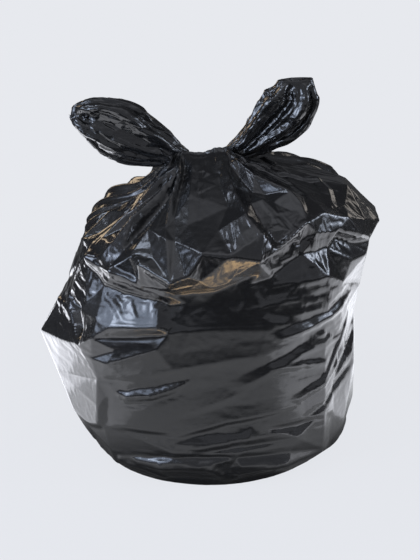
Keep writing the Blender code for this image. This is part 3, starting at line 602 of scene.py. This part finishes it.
slack = {
    # the film is longer than its shape, and buckles
    "seed": 11,
    # coarse to fine: cells taken together, rounds, first unevenness in mm, stiffness, hold
    "rounds": (
        (8, 160, 1.5, 0.2, 0.003), (4, 120, 0.3, 0.25, 0.003), (2, 80, 0.1, 0.3, 0.003),
        (1, 30, 0.0, 0.4, 0.004),
    ),
    # how far the film may leave its shape, in mm, and sideways as a share of that
    "out": 9.0,
    "inward": 5.0,
    "sideways": 0.6,
    # share of its motion that the film keeps, stiffness on the slant, length of a straight pair of cells
    "momentum": 0.85, "slant": 0.7, "straight": 0.97,
    # spare length at which the first unevenness is whole
    "loose": 0.02,
    # spare length, and the angle of its direction from level, by level
    "levels": (0, 1, 2, 4, 4.8, 5.5, 7, 8, 9, 11, 12),
    "spare": (0.02, 0.015, 0.008, 0.01, 0.012, 0.014, 0.015, 0.008, 0.006, 0.015, 0.05),
    "turn": (90, 85, 75, 80, 80, 60, 20, 0, 0, 0, 0),
    # where it is tighter or looser: (angle, level), reach in mm, spare length
    "patches": (
        ((-15, 2.5), 150, 0.001), ((15, 3.0), 150, 0.001), ((0, 4.2), 110, 0.003), ((28, 2.6), 90, 0.002),
        ((4, 9.3), 70, 0.001), ((-30, 9.0), 80, 0.003), ((-68, 2.2), 130, 0.001), ((30, 9.0), 60, 0.006),
        ((75, 2.4), 130, 0.002), ((54, 5.4), 50, 0.05), ((-25, 7.0), 60, 0.003), ((8, 7.4), 60, 0.004),
        ((-68, 4.4), 70, 0.004), ((-34, 5.0), 60, 0.006), ((0, 1.0), 60, 0.03), ((-60, 2.9), 75, 0.0005),
    ),
}


def project(first, second, rest, stiffness, onlyShort=False):
    # pulls pairs of points to their rest distance
    gap = second - first
    length = np.sqrt(np.einsum("...i,...i->...", gap, gap)) + 1e-6
    wrong = length - rest
    if onlyShort:
        wrong = np.minimum(wrong, 0)
    move = gap * (wrong / length * (0.5 * stiffness))[..., None]
    first += move
    second -= move


def projectPairs(points, down, right, rest, stiffness, onlyShort=False):
    # every pair that is so many rows down and columns right, in turns that share no point
    rows = points.shape[0]
    if down == 0:
        for turn in range(0, 2 * right, right):
            wrapped = np.roll(points, -turn, axis=1)
            restTurned = np.roll(rest, -turn, axis=1)
            for start in range(right):
                project(wrapped[:, start::2 * right], wrapped[:, start + right::2 * right],
                        restTurned[:, start::2 * right], stiffness, onlyShort)
            points[:] = np.roll(wrapped, turn, axis=1)
        return
    for start in range(2 * down):
        low = points[start:rows - down:2 * down]
        high = points[start + down:rows:2 * down]
        turned = np.roll(high, -right, axis=1) if right else high
        project(low, turned, rest[start::2 * down], stiffness, onlyShort)
        if right:
            high[:] = np.roll(turned, right, axis=1)


springs = ((0, 1), (1, 0), (1, 1), (1, -1))


def restLengths(points, spare, turn):
    # the film's own lengths: its shape's, stretched by the spare length in its direction
    normals = normalsOf(points)
    across = np.roll(points, -1, axis=1) - np.roll(points, 1, axis=1)
    across /= np.maximum(np.linalg.norm(across, axis=-1, keepdims=True), 1e-6)
    up = np.cross(normals, across)
    way = across * np.cos(turn)[..., None] + up * np.sin(turn)[..., None]
    found = {}
    for down, right in springs:
        far = np.roll(points, -right, axis=1)
        edge = far[down:] - points[:points.shape[0] - down] if down else far - points
        count = edge.shape[0]
        along = np.sum(edge * way[:count], axis=-1)
        grown = (1 + spare[:count]) ** 2 - 1
        found[down, right] = np.sqrt(np.sum(edge * edge, axis=-1) + grown * along ** 2).astype(np.float32)
    for down, right in springs:
        rest = found[down, right]
        beyond = np.roll(rest, -right, axis=1)
        found[2 * down, 2 * right] = (rest[:rest.shape[0] - down] + beyond[down:]) * slack["straight"]
    return found


def relax(points, target, rest, rounds, bend, hold, out, inward):
    # points: rows by columns, closed round the columns
    normals = normalsOf(target)
    before = points.copy()
    for again in range(rounds):
        drift = points - before
        before = points.copy()
        points += drift * slack["momentum"]
        points += (target - points) * hold
        for down, right in springs:
            projectPairs(points, down, right, rest[down, right], 1.0 if down * right == 0 else slack["slant"])
        for down, right in springs:
            projectPairs(points, 2 * down, 2 * right, rest[2 * down, 2 * right], bend, True)
        away = points - target
        depth = np.sum(away * normals, axis=-1, keepdims=True)
        side = away - normals * depth
        limited = np.clip(depth, -inward, out)
        side *= np.minimum(1, out * slack["sideways"] / (np.linalg.norm(side, axis=-1, keepdims=True) + 1e-6))
        points = target + normals * limited + side
    return points


def upsample(coarse, step, shape):
    # rows and columns of the coarse grid read back on the fine one
    rows, columns = shape
    rowPlace = np.arange(rows) / step
    low = np.minimum(rowPlace.astype(int), coarse.shape[0] - 2)
    share = (rowPlace - low)[:, None, None]
    tall = coarse[low] * (1 - share) + coarse[low + 1] * share
    columnPlace = np.arange(columns) / step
    left = columnPlace.astype(int)
    share = (columnPlace - left)[None, :, None]
    return tall[:, left % coarse.shape[1]] * (1 - share) + tall[:, (left + 1) % coarse.shape[1]] * share


def buckle(target, spare, turn, rounds, out, inward, seed):
    # lets the film's spare length out in folds, first the wide ones, then the narrow ones
    rng = np.random.default_rng(seed)
    offset = np.zeros_like(target)
    for step, count, rough, bend, hold in rounds:
        rowPick = np.arange(0, target.shape[0], step)
        shape = target[rowPick][:, ::step]
        rest = restLengths(shape, spare[rowPick][:, ::step], turn[rowPick][:, ::step])
        start = shape + offset[rowPick][:, ::step]
        loose = np.clip(spare[rowPick][:, ::step] / slack["loose"], 0, 1)
        start += normalsOf(shape) * (rng.normal(0, 1, shape.shape[:2]) * loose)[..., None] * rough
        start, ideal = start.astype(np.float32), shape.astype(np.float32)
        gain = relax(start, ideal, rest, count, bend, hold, out, inward) - shape
        if step > 1:
            gain = upsample(np.concatenate((gain, gain[-1:]), axis=0), step, target.shape[:2])
        offset = gain
    return target + offset


def patchField(base, patches):
    # a value over the film: by level, with patches of (angle, level), reach in mm and value laid on it
    field = np.interp(allLevels, *base)[:, None] * np.ones(film["columns"])
    for (angle, level), reach, value in patches:
        away = np.linalg.norm(target - surfaceAt(target, angle, level), axis=-1) / reach
        field += (value - field) * np.clip(1.4 * (1 - away), 0, 1)
    return field


worked = buckle(target, patchField((slack["levels"], slack["spare"]), slack["patches"]),
                np.radians(patchField((slack["levels"], slack["turn"]), ())),
                slack["rounds"], slack["out"], slack["inward"], slack["seed"])
print("slack buckled:", len(slack["rounds"]), "rounds")

crumple = {
    # size of the facets across and up the film, and of the grid's cells there, in mm
    "across": 15.0, "acrossCell": 2.1,
    "up": 17.0, "upCell": 2.4,
    # how far the corners stand off, in mm, by level, and in patches of (angle, level), reach and height
    "levels": (0, 1, 1.6, 4, 5, 6.5, 8, 10, 11.5, 12),
    "heights": (0.5, 0.6, 0.12, 0.12, 0.5, 0.8, 0.9, 0.9, 1.2, 1.0),
    "patches": (
        ((-6, 9.3), 90, 0.15), ((60, 9.6), 90, 0.3), ((54, 5.4), 45, 2.2), ((-60, 6.4), 50, 1.0),
        ((-32, 5.0), 60, 0.35), ((-74, 4.9), 60, 1.2), ((-64, 2.6), 110, 0.0), ((75, 2.4), 120, 0.4),
    ),
    "seed": 21,
}


def crumpled(rows, columns, across, up, seed):
    # heights, from -1 to 1, of a crumpled sheet that is closed round its columns: corners at random,
    # joined by flat triangles. The sizes are in rows and columns
    rng = np.random.default_rng(seed)
    count = int((rows + 4 * up) * columns / (across * up))
    spots = rng.uniform((0, -2 * up), (columns, rows + 2 * up), (count, 2))
    heights = np.tile(rng.uniform(-1, 1, count), 3)
    spots = np.concatenate([spots + (columns * turn, 0) for turn in (-1, 0, 1)])
    near = (spots[:, 0] > -4 * across) & (spots[:, 0] < columns + 4 * across)
    spots, heights = spots[near], heights[near]
    net = delaunay_2d_cdt([Vector((x / across, y / up)) for x, y in spots], [], [], 0, 1e-6)
    field = np.zeros((rows, columns))
    sources = [source[0] for source in net[3]]
    for triangle in net[2]:
        picked = [sources[corner] for corner in triangle]
        corners = spots[picked]
        low = np.maximum(np.ceil(corners.min(axis=0)), 0).astype(int)
        high = np.minimum(np.floor(corners.max(axis=0)), (columns - 1, rows - 1)).astype(int) + 1
        if np.any(high <= low):
            continue
        x, y = np.meshgrid(np.arange(low[0], high[0]), np.arange(low[1], high[1]))
        first, second, third = shares = cornerShares(x, y, corners)
        within = np.all([share >= 0 for share in shares], axis=0)
        a, b, c = heights[picked]
        field[low[1]:high[1], low[0]:high[0]][within] = (first * a + second * b + third * c)[within]
    return field


worked += normalsOf(worked) * (
    crumpled(*worked.shape[:2], crumple["across"] / crumple["acrossCell"], crumple["up"] / crumple["upCell"],
             crumple["seed"])
    * patchField((crumple["levels"], crumple["heights"]), crumple["patches"])
)[..., None]
print("film crumpled")

ears = {
    # spine: middle line with half width and half depth, in mm, from the knot to the tip. tipSide: which way
    # the tip's edge runs, where it isn't square to the spine. cup: how the film turns in at the tip, as
    # (share of its size, depth in mm). turn: which way the spare length runs, by share of the ear's length
    "left": {
        "spine": (
            ((-24, 7, 444), 11, 11), ((-42, 7, 450), 19, 15), ((-64, 7, 460), 31, 18),
            ((-95, 5, 473), 42, 22), ((-124, 4, 489), 45, 24), ((-149, 4, 501), 39, 22),
            ((-169, 5, 508), 30, 18), ((-184, 6, 512), 19, 12), ((-193, 6, 514), 9, 6),
        ),
        "rows": 128,
        "tipSide": None,
        "cup": ((0.6, 0.5), (0.2, 1.5)),
        "turn": ((0, 0.4, 1.0), (0, 20, 55)),
        # path of (angle round the ear, share of its length), widths, height
        "folds": (
            (((262, 0.9), (266, 0.8), (262, 0.6), (256, 0.35)), 12, 13, -9, 1.0),
            (((300, 0.86), (305, 0.7), (296, 0.35), (284, 0.1)), 9, 9, 6, 1.0),
            (((235, 0.84), (226, 0.65), (236, 0.35), (250, 0.1)), 9, 9, 6, 1.0),
            (((322, 0.8), (325, 0.5), (310, 0.2)), 7, 7, -6, 1.0),
            (((205, 0.85), (205, 0.5), (225, 0.2)), 7, 7, -5, 1.0),
            (((283, 0.5), (276, 0.3), (270, 0.08)), 6, 6, 5, 1.0),
            (((90, 0.82), (100, 0.5), (90, 0.2)), 12, 12, -9, 1.0),
        ),
        "seed": 5,
    },
    "right": {
        "spine": (
            ((40, 10, 450), 12, 11), ((64, 10, 463), 21, 15), ((87, 9, 483), 31, 17), ((105, 8, 501), 38, 20),
            ((118, 8, 518), 41, 21), ((127, 8, 534), 39, 21), ((131, 8, 550), 32, 16), ((133, 8, 565), 25, 8),
        ),
        "rows": 120,
        "tipSide": (-0.995, 0.0, -0.08),
        "cup": ((0.75, 2), (0.45, 5), (0.15, 6)),
        "turn": ((0, 0.5, 1.0), (0, 10, 35)),
        "folds": (
            (((272, 0.12), (280, 0.4), (275, 0.7), (282, 0.9)), 8, 8, -9, 1.0),
            (((300, 0.1), (312, 0.4), (305, 0.75), (300, 0.92)), 8, 8, 5, 1.0),
            (((255, 0.15), (248, 0.45), (240, 0.75), (236, 0.92)), 8, 8, 7, 1.0),
            (((235, 0.3), (222, 0.6), (214, 0.9)), 7, 7, -7, 1.0),
            (((330, 0.3), (335, 0.6), (325, 0.9)), 8, 8, -5, 1.0),
            (((212, 0.2), (200, 0.5), (196, 0.8)), 7, 7, 5, 1.0),
            (((90, 0.85), (80, 0.5), (90, 0.2)), 12, 12, -7, 1.0),
        ),
        "seed": 8,
    },
}

earFilm = {
    # what both ears share
    "columns": 256,
    "depth": (0, 1, 0),  # an ear is thin from front to back
    "tipFrom": 0.6,  # share of its length at which the tip's edge begins to turn
    # ridges along the ear: how many, height in mm, how wide and sharp, how far they turn round the ear over
    # its length in radians, and the size in mm that they are measured against
    "ridges": 9, "ridgeHeight": 2.5, "ridgeWidth": 2.2, "ridgeSharpness": 1.3, "twist": 0.5, "girth": 34,
    # share of a fold that is left at its ends
    "taper": 0.15,
    # size of the facets in columns and rows, and height in mm, then those of a finer second crumple
    "crumple": (17, 17, 3.0), "fine": 0.45, "fineHeight": 1.1,
    # spare length by share of the ear's length, and the rest as for the slack of the film
    "spare": ((0, 0.3, 0.6, 0.9, 1.0), (0.06, 0.03, 0.02, 0.01, 0.0)),
    "rounds": ((4, 200, 0.8, 0.15, 0.003), (2, 60, 0.2, 0.25, 0.003)),
    "out": 6.0, "inward": 6.0,
}


def station(spine, share):
    # middle, half width and half depth of an ear at a share of its length
    place = share * (len(spine) - 1)
    first = min(int(place), len(spine) - 2)
    four = [spine[min(max(first + step, 0), len(spine) - 1)] for step in (-1, 0, 1, 2)]
    middle = between(*(np.array(each[0], float) for each in four), place - first)
    halfWidth, halfDepth = (between(*(each[kind] for each in four), place - first) for kind in (1, 2))
    return middle, halfWidth, halfDepth


def earGrid(ear):
    # rings of film from the knot to the tip, and the cup that closes it
    turns = -np.arange(earFilm["columns"]) * 2 * math.pi / earFilm["columns"]
    rng = np.random.default_rng(ear["seed"])
    ridges = earFilm["ridges"]
    ridgeAt = (np.arange(ridges) + rng.uniform(-0.3, 0.3, ridges)) * 2 * math.pi / ridges
    ridgeSize = rng.uniform(0.4, 1.0, ridges) * earFilm["ridgeHeight"]
    ridgeHalf = earFilm["ridgeWidth"] * math.pi / ridges
    rings = []
    for row in range(ear["rows"] + 1):
        share = row / ear["rows"]
        middle, halfWidth, halfDepth = station(ear["spine"], share)
        further, nearer = min(share + 0.02, 1.0), max(share - 0.02, 0.0)
        ahead = station(ear["spine"], further)[0] - station(ear["spine"], nearer)[0]
        side = np.cross(ahead, earFilm["depth"])
        side /= np.linalg.norm(side)
        if ear["tipSide"]:
            blend = np.clip((share - earFilm["tipFrom"]) / (1 - earFilm["tipFrom"]), 0, 1) ** 1.5
            side = side * (1 - blend) + np.array(ear["tipSide"]) * blend
            side /= np.linalg.norm(side)
        rings.append((middle, side, ahead / np.linalg.norm(ahead), halfWidth, halfDepth, share))
    middle, side, ahead, halfWidth, halfDepth, share = rings[-1]
    earlier = (1.0, 0.0)
    for shrink, back in ear["cup"]:
        for step in (0.25, 0.5, 0.75, 1.0):
            size = earlier[0] + (shrink - earlier[0]) * step
            depth = earlier[1] + (back - earlier[1]) * step
            rings.append((middle - ahead * depth, side, ahead, halfWidth * size, halfDepth * size, 1.0))
        earlier = (shrink, back)
    grid = []
    for middle, side, ahead, halfWidth, halfDepth, share in rings:
        wave = np.zeros_like(turns)
        for at, size in zip(ridgeAt, ridgeSize):
            away = np.abs((turns + at - earFilm["twist"] * share + math.pi) % (2 * math.pi) - math.pi)
            wave += size * np.clip(1 - away / ridgeHalf, 0, 1) ** earFilm["ridgeSharpness"]
        swell = 1 + (wave - wave.mean()) / earFilm["girth"]
        grid.append(middle + (side * (halfWidth * swell * np.cos(turns))[:, None]
                              + np.array(earFilm["depth"]) * (halfDepth * swell * np.sin(turns))[:, None]))
    return np.array(grid)


def foldOnEar(grid, rows, fold):
    # the same fold tool, with the ear's own angle and share in place of compass and level
    path, *shape = fold
    dense = []
    for angle, share in alongPath(path):
        column = int(round(-angle / 360 * grid.shape[1])) % grid.shape[1]
        dense.append(grid[int(round(share * rows)), column])
    pressAlong(grid, normalsOf(grid), np.array(dense), *shape, earFilm["taper"])


made = {}
for name, ear in ears.items():
    grid = earGrid(ear)
    for fold in ear["folds"]:
        foldOnEar(grid, ear["rows"], fold)
    shares = np.minimum(np.arange(grid.shape[0]) / ear["rows"], 1.0)
    across, up, height = earFilm["crumple"]
    rough = crumpled(*grid.shape[:2], across, up, ear["seed"]) * height
    # it runs out over the first and the last quarter of the ear
    rough = rough * np.clip(4 * shares, 0, 1)[:, None] * np.clip(4 - 4 * shares, 0, 1)[:, None]
    grid += normalsOf(grid) * rough[..., None]
    spare = np.interp(shares, *earFilm["spare"])[:, None] * np.ones(earFilm["columns"])
    turn = np.radians(np.interp(shares, *ear["turn"]))[:, None] * np.ones(earFilm["columns"])
    loose = buckle(grid, spare, turn, earFilm["rounds"], earFilm["out"], earFilm["inward"], ear["seed"])
    fine = crumpled(*grid.shape[:2], across * earFilm["fine"], up * earFilm["fine"], ear["seed"] + 1)
    fine = fine * np.clip(5 - 5 * shares, 0, 1)[:, None] * earFilm["fineHeight"]
    made[name] = loose + normalsOf(loose) * fine[..., None]
print("ears gathered and crumpled:", len(made))


def addMesh(name, points, faces, normals, material):
    # a smooth piece from points in mm, with the film's own normals
    data = bpy.data.meshes.new(name)
    data.from_pydata((points * mm).tolist(), [], faces)
    data.materials.append(material)
    data.shade_smooth()
    data.normals_split_custom_set_from_vertices(normals.tolist())
    piece = bpy.data.objects.new(name, data)
    bpy.context.scene.collection.objects.link(piece)
    return piece


def tubeFaces(rows, columns):
    ring = np.arange(rows - 1)[:, None] * columns
    low = ring + np.arange(columns)[None]
    beside = ring + (np.arange(columns)[None] + 1) % columns
    return np.stack((low, beside, beside + columns, low + columns), axis=-1).reshape(-1, 4).tolist()


def closedTube(name, grid, normals, hubDepths, material):
    # a tube of film closed at both ends; the hubs of its ends lie so many mm inside
    rows, columns = grid.shape[:2]
    hubs = np.stack((grid[0].mean(axis=0), grid[-1].mean(axis=0)))
    axis = (hubs[1] - hubs[0]) / np.linalg.norm(hubs[1] - hubs[0])
    hubs[0] += axis * hubDepths[0]
    hubs[1] -= axis * hubDepths[1]
    faces = tubeFaces(rows, columns)
    bottom, top, last = rows * columns, rows * columns + 1, (rows - 1) * columns
    for here in range(columns):
        beside = (here + 1) % columns
        faces.append((beside, here, bottom))
        faces.append((last + here, last + beside, top))
    points = np.concatenate((grid.reshape(-1, 3), hubs)) + knotAxis
    facing = np.concatenate((normals.reshape(-1, 3), -axis[None], axis[None]))
    return addMesh(name, points, faces, facing, material)


polythene = {
    "colour": "#131314",
    "ior": 1.51,  # polythene
    "slick": 0.5, "slickRoughness": 0.12,
    # how many to the metre: crinkles about 11 mm apart and creases about 14 mm apart, with finer ones in
    # them. Real ones a millimetre or two apart are too fine to show, so these are drawn coarser
    "crinkles": 90.0, "creases": 70.0,
    "crinkleBump": 0.3, "creaseBump": 0.5, "bumpDepth": 1 * mm,
    "roughness": (0.16, 0.26),
}


def blackPolythene():
    # low-density polythene film, blown and black all through: a dark body under a slick skin, so nearly
    # all that shows is the room's light, broken up by creases
    material = bpy.data.materials.new("blackPolythene")
    material.use_nodes = True
    tree = material.node_tree
    tree.nodes.clear()
    place = addNode(tree, "ShaderNodeTexCoord")
    crinkle = addNode(tree, "ShaderNodeTexNoise",
                      {"Scale": polythene["crinkles"], "Detail": 5.0, "Roughness": 0.55},
                      {"Vector": place.outputs["Object"]})
    crease = addNode(tree, "ShaderNodeTexNoise",
                     {"noise_type": "RIDGED_MULTIFRACTAL", "normalize": True,
                      "Scale": polythene["creases"], "Detail": 3.0, "Roughness": 0.45},
                     {"Vector": place.outputs["Object"]})
    soft = addNode(tree, "ShaderNodeBump",
                   {"Strength": polythene["crinkleBump"], "Distance": polythene["bumpDepth"]},
                   {"Height": crinkle.outputs["Fac"]})
    bump = addNode(tree, "ShaderNodeBump",
                   {"Strength": polythene["creaseBump"], "Distance": polythene["bumpDepth"]},
                   {"Height": crease.outputs["Fac"], "Normal": soft.outputs["Normal"]})
    smoothest, roughest = polythene["roughness"]
    haze = addNode(tree, "ShaderNodeMapRange",
                   {"From Min": 0.3, "From Max": 0.7, "To Min": smoothest, "To Max": roughest},
                   {"Value": crinkle.outputs["Fac"]})
    shader = addNode(tree, "ShaderNodeBsdfPrincipled",
                     {"Base Color": linear(polythene["colour"]), "IOR": polythene["ior"],
                      "Coat Weight": polythene["slick"], "Coat Roughness": polythene["slickRoughness"]},
                     {"Roughness": haze.outputs["Result"], "Normal": bump.outputs["Normal"]})
    addNode(tree, "ShaderNodeOutputMaterial", {}, {"Surface": shader.outputs["BSDF"]})
    return material


blackFilm = blackPolythene()
parting = int(np.searchsorted(allLevels, film["parting"]))
filmNormals = normalsOf(worked)
pieces = {
    "film_body": (worked[:parting + 1], filmNormals[:parting + 1], film["bodyHubs"]),
    "film_cap": (worked[parting:], filmNormals[parting:], film["capHubs"]),
}
for name, grid in made.items():
    pieces["ear_" + name] = (grid, normalsOf(grid), film["earHubs"])
for name, (grid, normals, hubDepths) in pieces.items():
    piece = closedTube(name, grid, normals, hubDepths, blackFilm)
    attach(piece, "root")
    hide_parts("bin_bag")
    print(name, len(piece.data.polygons), "faces")

studio = {
    "floor": "#E7E9EE",
    "floorSize": 40,
    # distance from the object, in m, over which the floor turns into the even backdrop
    "floorFade": (0.35, 0.95),
    "floorEven": 0.94,
    # the floor as the film mirrors it, with painted shade: a painted shadow under the object and painted
    # darkening far off, far in front and behind, never above 1: from and to which place, in m, and strength
    # there
    "paintedShadeUnder": ((0.212, 0.32), (0.1, 1.0)),
    "paintedShadeFar": ((0.65, 1.3), (1.0, 0.3)),
    "paintedShadeFront": ((-0.9, -0.45), (0.25, 1.0)),
    "paintedShadeBehind": ((0.32, 0.6), (1.0, 0.25)),
    # the share of the room's light that is left behind the object
    "roomBehind": ((-0.2, 0.5), (1.0, 0.22)),
    # strength of the room by the sine of the elevation
    "room": ((0.0, 0.5), (0.15, 0.45), (0.45, 0.32), (0.8, 0.45), (1.0, 1.0)),
    "roomTint": "#F2F5FF",
}


def evenFloor():
    # seamless paper roll: matt and near white. It stays even to the eye, and takes a soft shadow. In the
    # film's reflections it glows, with painted shade
    material = bpy.data.materials.new("paperRoll")
    material.use_nodes = True
    tree = material.node_tree
    tree.nodes.clear()
    place = addNode(tree, "ShaderNodeTexCoord")
    away = addNode(tree, "ShaderNodeVectorMath", {"operation": "LENGTH"}, {0: place.outputs["Object"]})
    near, far = studio["floorFade"]
    even = addNode(tree, "ShaderNodeMapRange",
                   {"From Min": near, "From Max": far, "To Min": studio["floorEven"], "To Max": 1.0,
                    "interpolation_type": "SMOOTHSTEP"}, {"Value": away.outputs["Value"]})
    ray = addNode(tree, "ShaderNodeLightPath")
    share = addNode(tree, "ShaderNodeMath", {"operation": "MULTIPLY_ADD"},
                    {0: even.outputs["Result"], 1: ray.outputs["Is Camera Ray"],
                     2: ray.outputs["Is Glossy Ray"]})
    matt = addNode(tree, "ShaderNodeBsdfDiffuse", {"Color": linear(studio["floor"])})
    # the floor as the film mirrors it glows with painted shade: a painted shadow under the object, and
    # painted darkening far off, in front and behind, as the room is
    split = addNode(tree, "ShaderNodeSeparateXYZ", {}, {"Vector": place.outputs["Object"]})
    distance, depth = away.outputs["Value"], split.outputs["Y"]
    gain = None
    for name, source in (("paintedShadeUnder", distance), ("paintedShadeFar", distance),
                         ("paintedShadeFront", depth), ("paintedShadeBehind", depth)):
        (start, end), (first, last) = studio[name]
        ramp = addNode(tree, "ShaderNodeMapRange",
                       {"From Min": start, "From Max": end, "To Min": first, "To Max": last,
                        "interpolation_type": "SMOOTHSTEP"}, {"Value": source})
        gain = ramp if gain is None else addNode(tree, "ShaderNodeMath", {"operation": "MULTIPLY"},
                                                 {0: gain.outputs[0], 1: ramp.outputs["Result"]})
    # glossy rays see the floor's glow at the strength of the painted shade, the camera at strength 1
    strength = addNode(tree, "ShaderNodeMix", {2: 1.0}, {0: ray.outputs["Is Glossy Ray"], 3: gain.outputs[0]})
    glow = addNode(tree, "ShaderNodeEmission", {"Color": linear(studio["floor"])},
                   {"Strength": strength.outputs[0]})
    mix = addNode(tree, "ShaderNodeMixShader", {},
                  {0: share.outputs["Value"], 1: matt.outputs[0], 2: glow.outputs[0]})
    addNode(tree, "ShaderNodeOutputMaterial", {}, {"Surface": mix.outputs[0]})
    return material


bpy.ops.object.select_all(action="DESELECT")
bpy.ops.mesh.primitive_plane_add(size=studio["floorSize"])
floor = bpy.context.object
floor.name = "floor"
floor.data.materials.append(evenFloor())
print("floor laid")

world = bpy.data.worlds.new("studio")
bpy.context.scene.world = world
world.use_nodes = True
tree = world.node_tree
tree.nodes.clear()
place = addNode(tree, "ShaderNodeTexCoord")
split = addNode(tree, "ShaderNodeSeparateXYZ", {}, {"Vector": place.outputs["Generated"]})
ramp = addNode(tree, "ShaderNodeValToRGB", {}, {"Fac": split.outputs["Z"]})
stops = ramp.color_ramp.elements
tint = linear(studio["roomTint"])
while len(stops) < len(studio["room"]):
    stops.new(0.5)
for stop, (height, strength) in zip(stops, studio["room"]):
    stop.position = height
for stop, (height, strength) in zip(stops, studio["room"]):
    stop.color = tuple(part * strength for part in tint[:3]) + (1.0,)
(start, end), (first, last) = studio["roomBehind"]
behind = addNode(tree, "ShaderNodeMapRange",
                 {"From Min": start, "From Max": end, "To Min": first, "To Max": last},
                 {"Value": split.outputs["Y"]})
room = addNode(tree, "ShaderNodeBackground", {},
               {"Color": ramp.outputs["Color"], "Strength": behind.outputs["Result"]})
backdrop = addNode(tree, "ShaderNodeBackground", {"Color": linear(studio["floor"]), "Strength": 1.0})
ray = addNode(tree, "ShaderNodeLightPath")
mix = addNode(tree, "ShaderNodeMixShader", {},
              {0: ray.outputs["Is Camera Ray"], 1: room.outputs[0], 2: backdrop.outputs[0]})
addNode(tree, "ShaderNodeOutputWorld", {}, {"Surface": mix.outputs[0]})

# spot, aim and size in m, strength of the lit face, colour, spread in degrees. The cards lie on the floor,
# face up, and give the film its broad soft reflections from below
lamps = {
    "windowLeft": ((-1.65, -1.15, 1.0), (0, 0, 0.3), (2.0, 1.1), 3.0, "#CFE1FF", 180),
    "paneLeft": ((-1.5, -1.04, 0.97), (0, 0, 0.3), (0.75, 0.34), 9.0, "#DCE9FF", 180),
    "skylight": ((-1.0, 0.0, 1.9), (0, 0, 0.35), (0.55, 0.4), 5.5, "#DCE9FF", 180),
    "windowRight": ((1.85, -0.4, 1.0), (0, 0, 0.3), (0.9, 0.9), 3.0, "#DCE9FF", 180),
    "paneRight": ((1.7, -0.36, 0.95), (0, 0, 0.3), (0.3, 0.4), 9.0, "#E6EFFF", 180),
    "lampBackLeft": ((-1.3, 1.6, 0.95), (0, 0, 0.35), (0.5, 0.8), 3.0, "#FFE3BE", 180),
    "lampBackRight": ((1.5, 1.5, 0.9), (0, 0, 0.35), (0.5, 0.8), 1.2, "#FFF6EC", 180),
    "cardLeft": ((-0.52, 0.24, 0.004), (-0.52, 0.24, 1.0), (0.62, 0.5), 3.0, "#F4F6FF", 180),
    "cardFrontLeft": ((-0.62, -0.42, 0.004), (-0.62, -0.42, 1.0), (0.75, 0.8), 0.75, "#F4F6FF", 180),
    "cardRight": ((0.64, -0.02, 0.004), (0.64, -0.02, 1.0), (0.7, 0.9), 1.05, "#F4F6FF", 180),
    "cardFront": ((0.02, -0.335, 0.004), (0.02, -0.335, 1.0), (0.42, 0.07), 1.3, "#FFD08C", 65),
}
for name, (spot, at, size, strength, colour, spread) in lamps.items():
    data = bpy.data.lights.new(name, "AREA")
    data.shape = "RECTANGLE"
    data.size, data.size_y = size
    data.energy = strength * math.pi * size[0] * size[1]
    data.color = linear(colour)[:3]
    data.spread = math.radians(spread)
    lamp = bpy.data.objects.new(name, data)
    bpy.context.scene.collection.objects.link(lamp)
    lamp.location = spot
    lamp.rotation_euler = (Vector(at) - Vector(spot)).to_track_quat("-Z", "Y").to_euler()
    lamp.visible_camera = False
print("lamps hung:", len(lamps))

# aim and distance in m, height in degrees, lens in mm
camera = {"aim": (0.0038, 0.0008, 0.248), "away": 2.3, "height": 25.0, "lens": 96.64}
lensData = bpy.data.cameras.new("camera")
lensData.lens = camera["lens"]
viewer = bpy.data.objects.new("camera", lensData)
bpy.context.scene.collection.objects.link(viewer)
bpy.context.scene.camera = viewer
aim = Vector(camera["aim"])
tilt = math.radians(camera["height"])
viewer.location = aim + Vector((0, -math.cos(tilt), math.sin(tilt))) * camera["away"]
viewer.rotation_euler = (aim - viewer.location).to_track_quat("-Z", "Y").to_euler()
bpy.context.scene.view_settings.view_transform = "Standard"
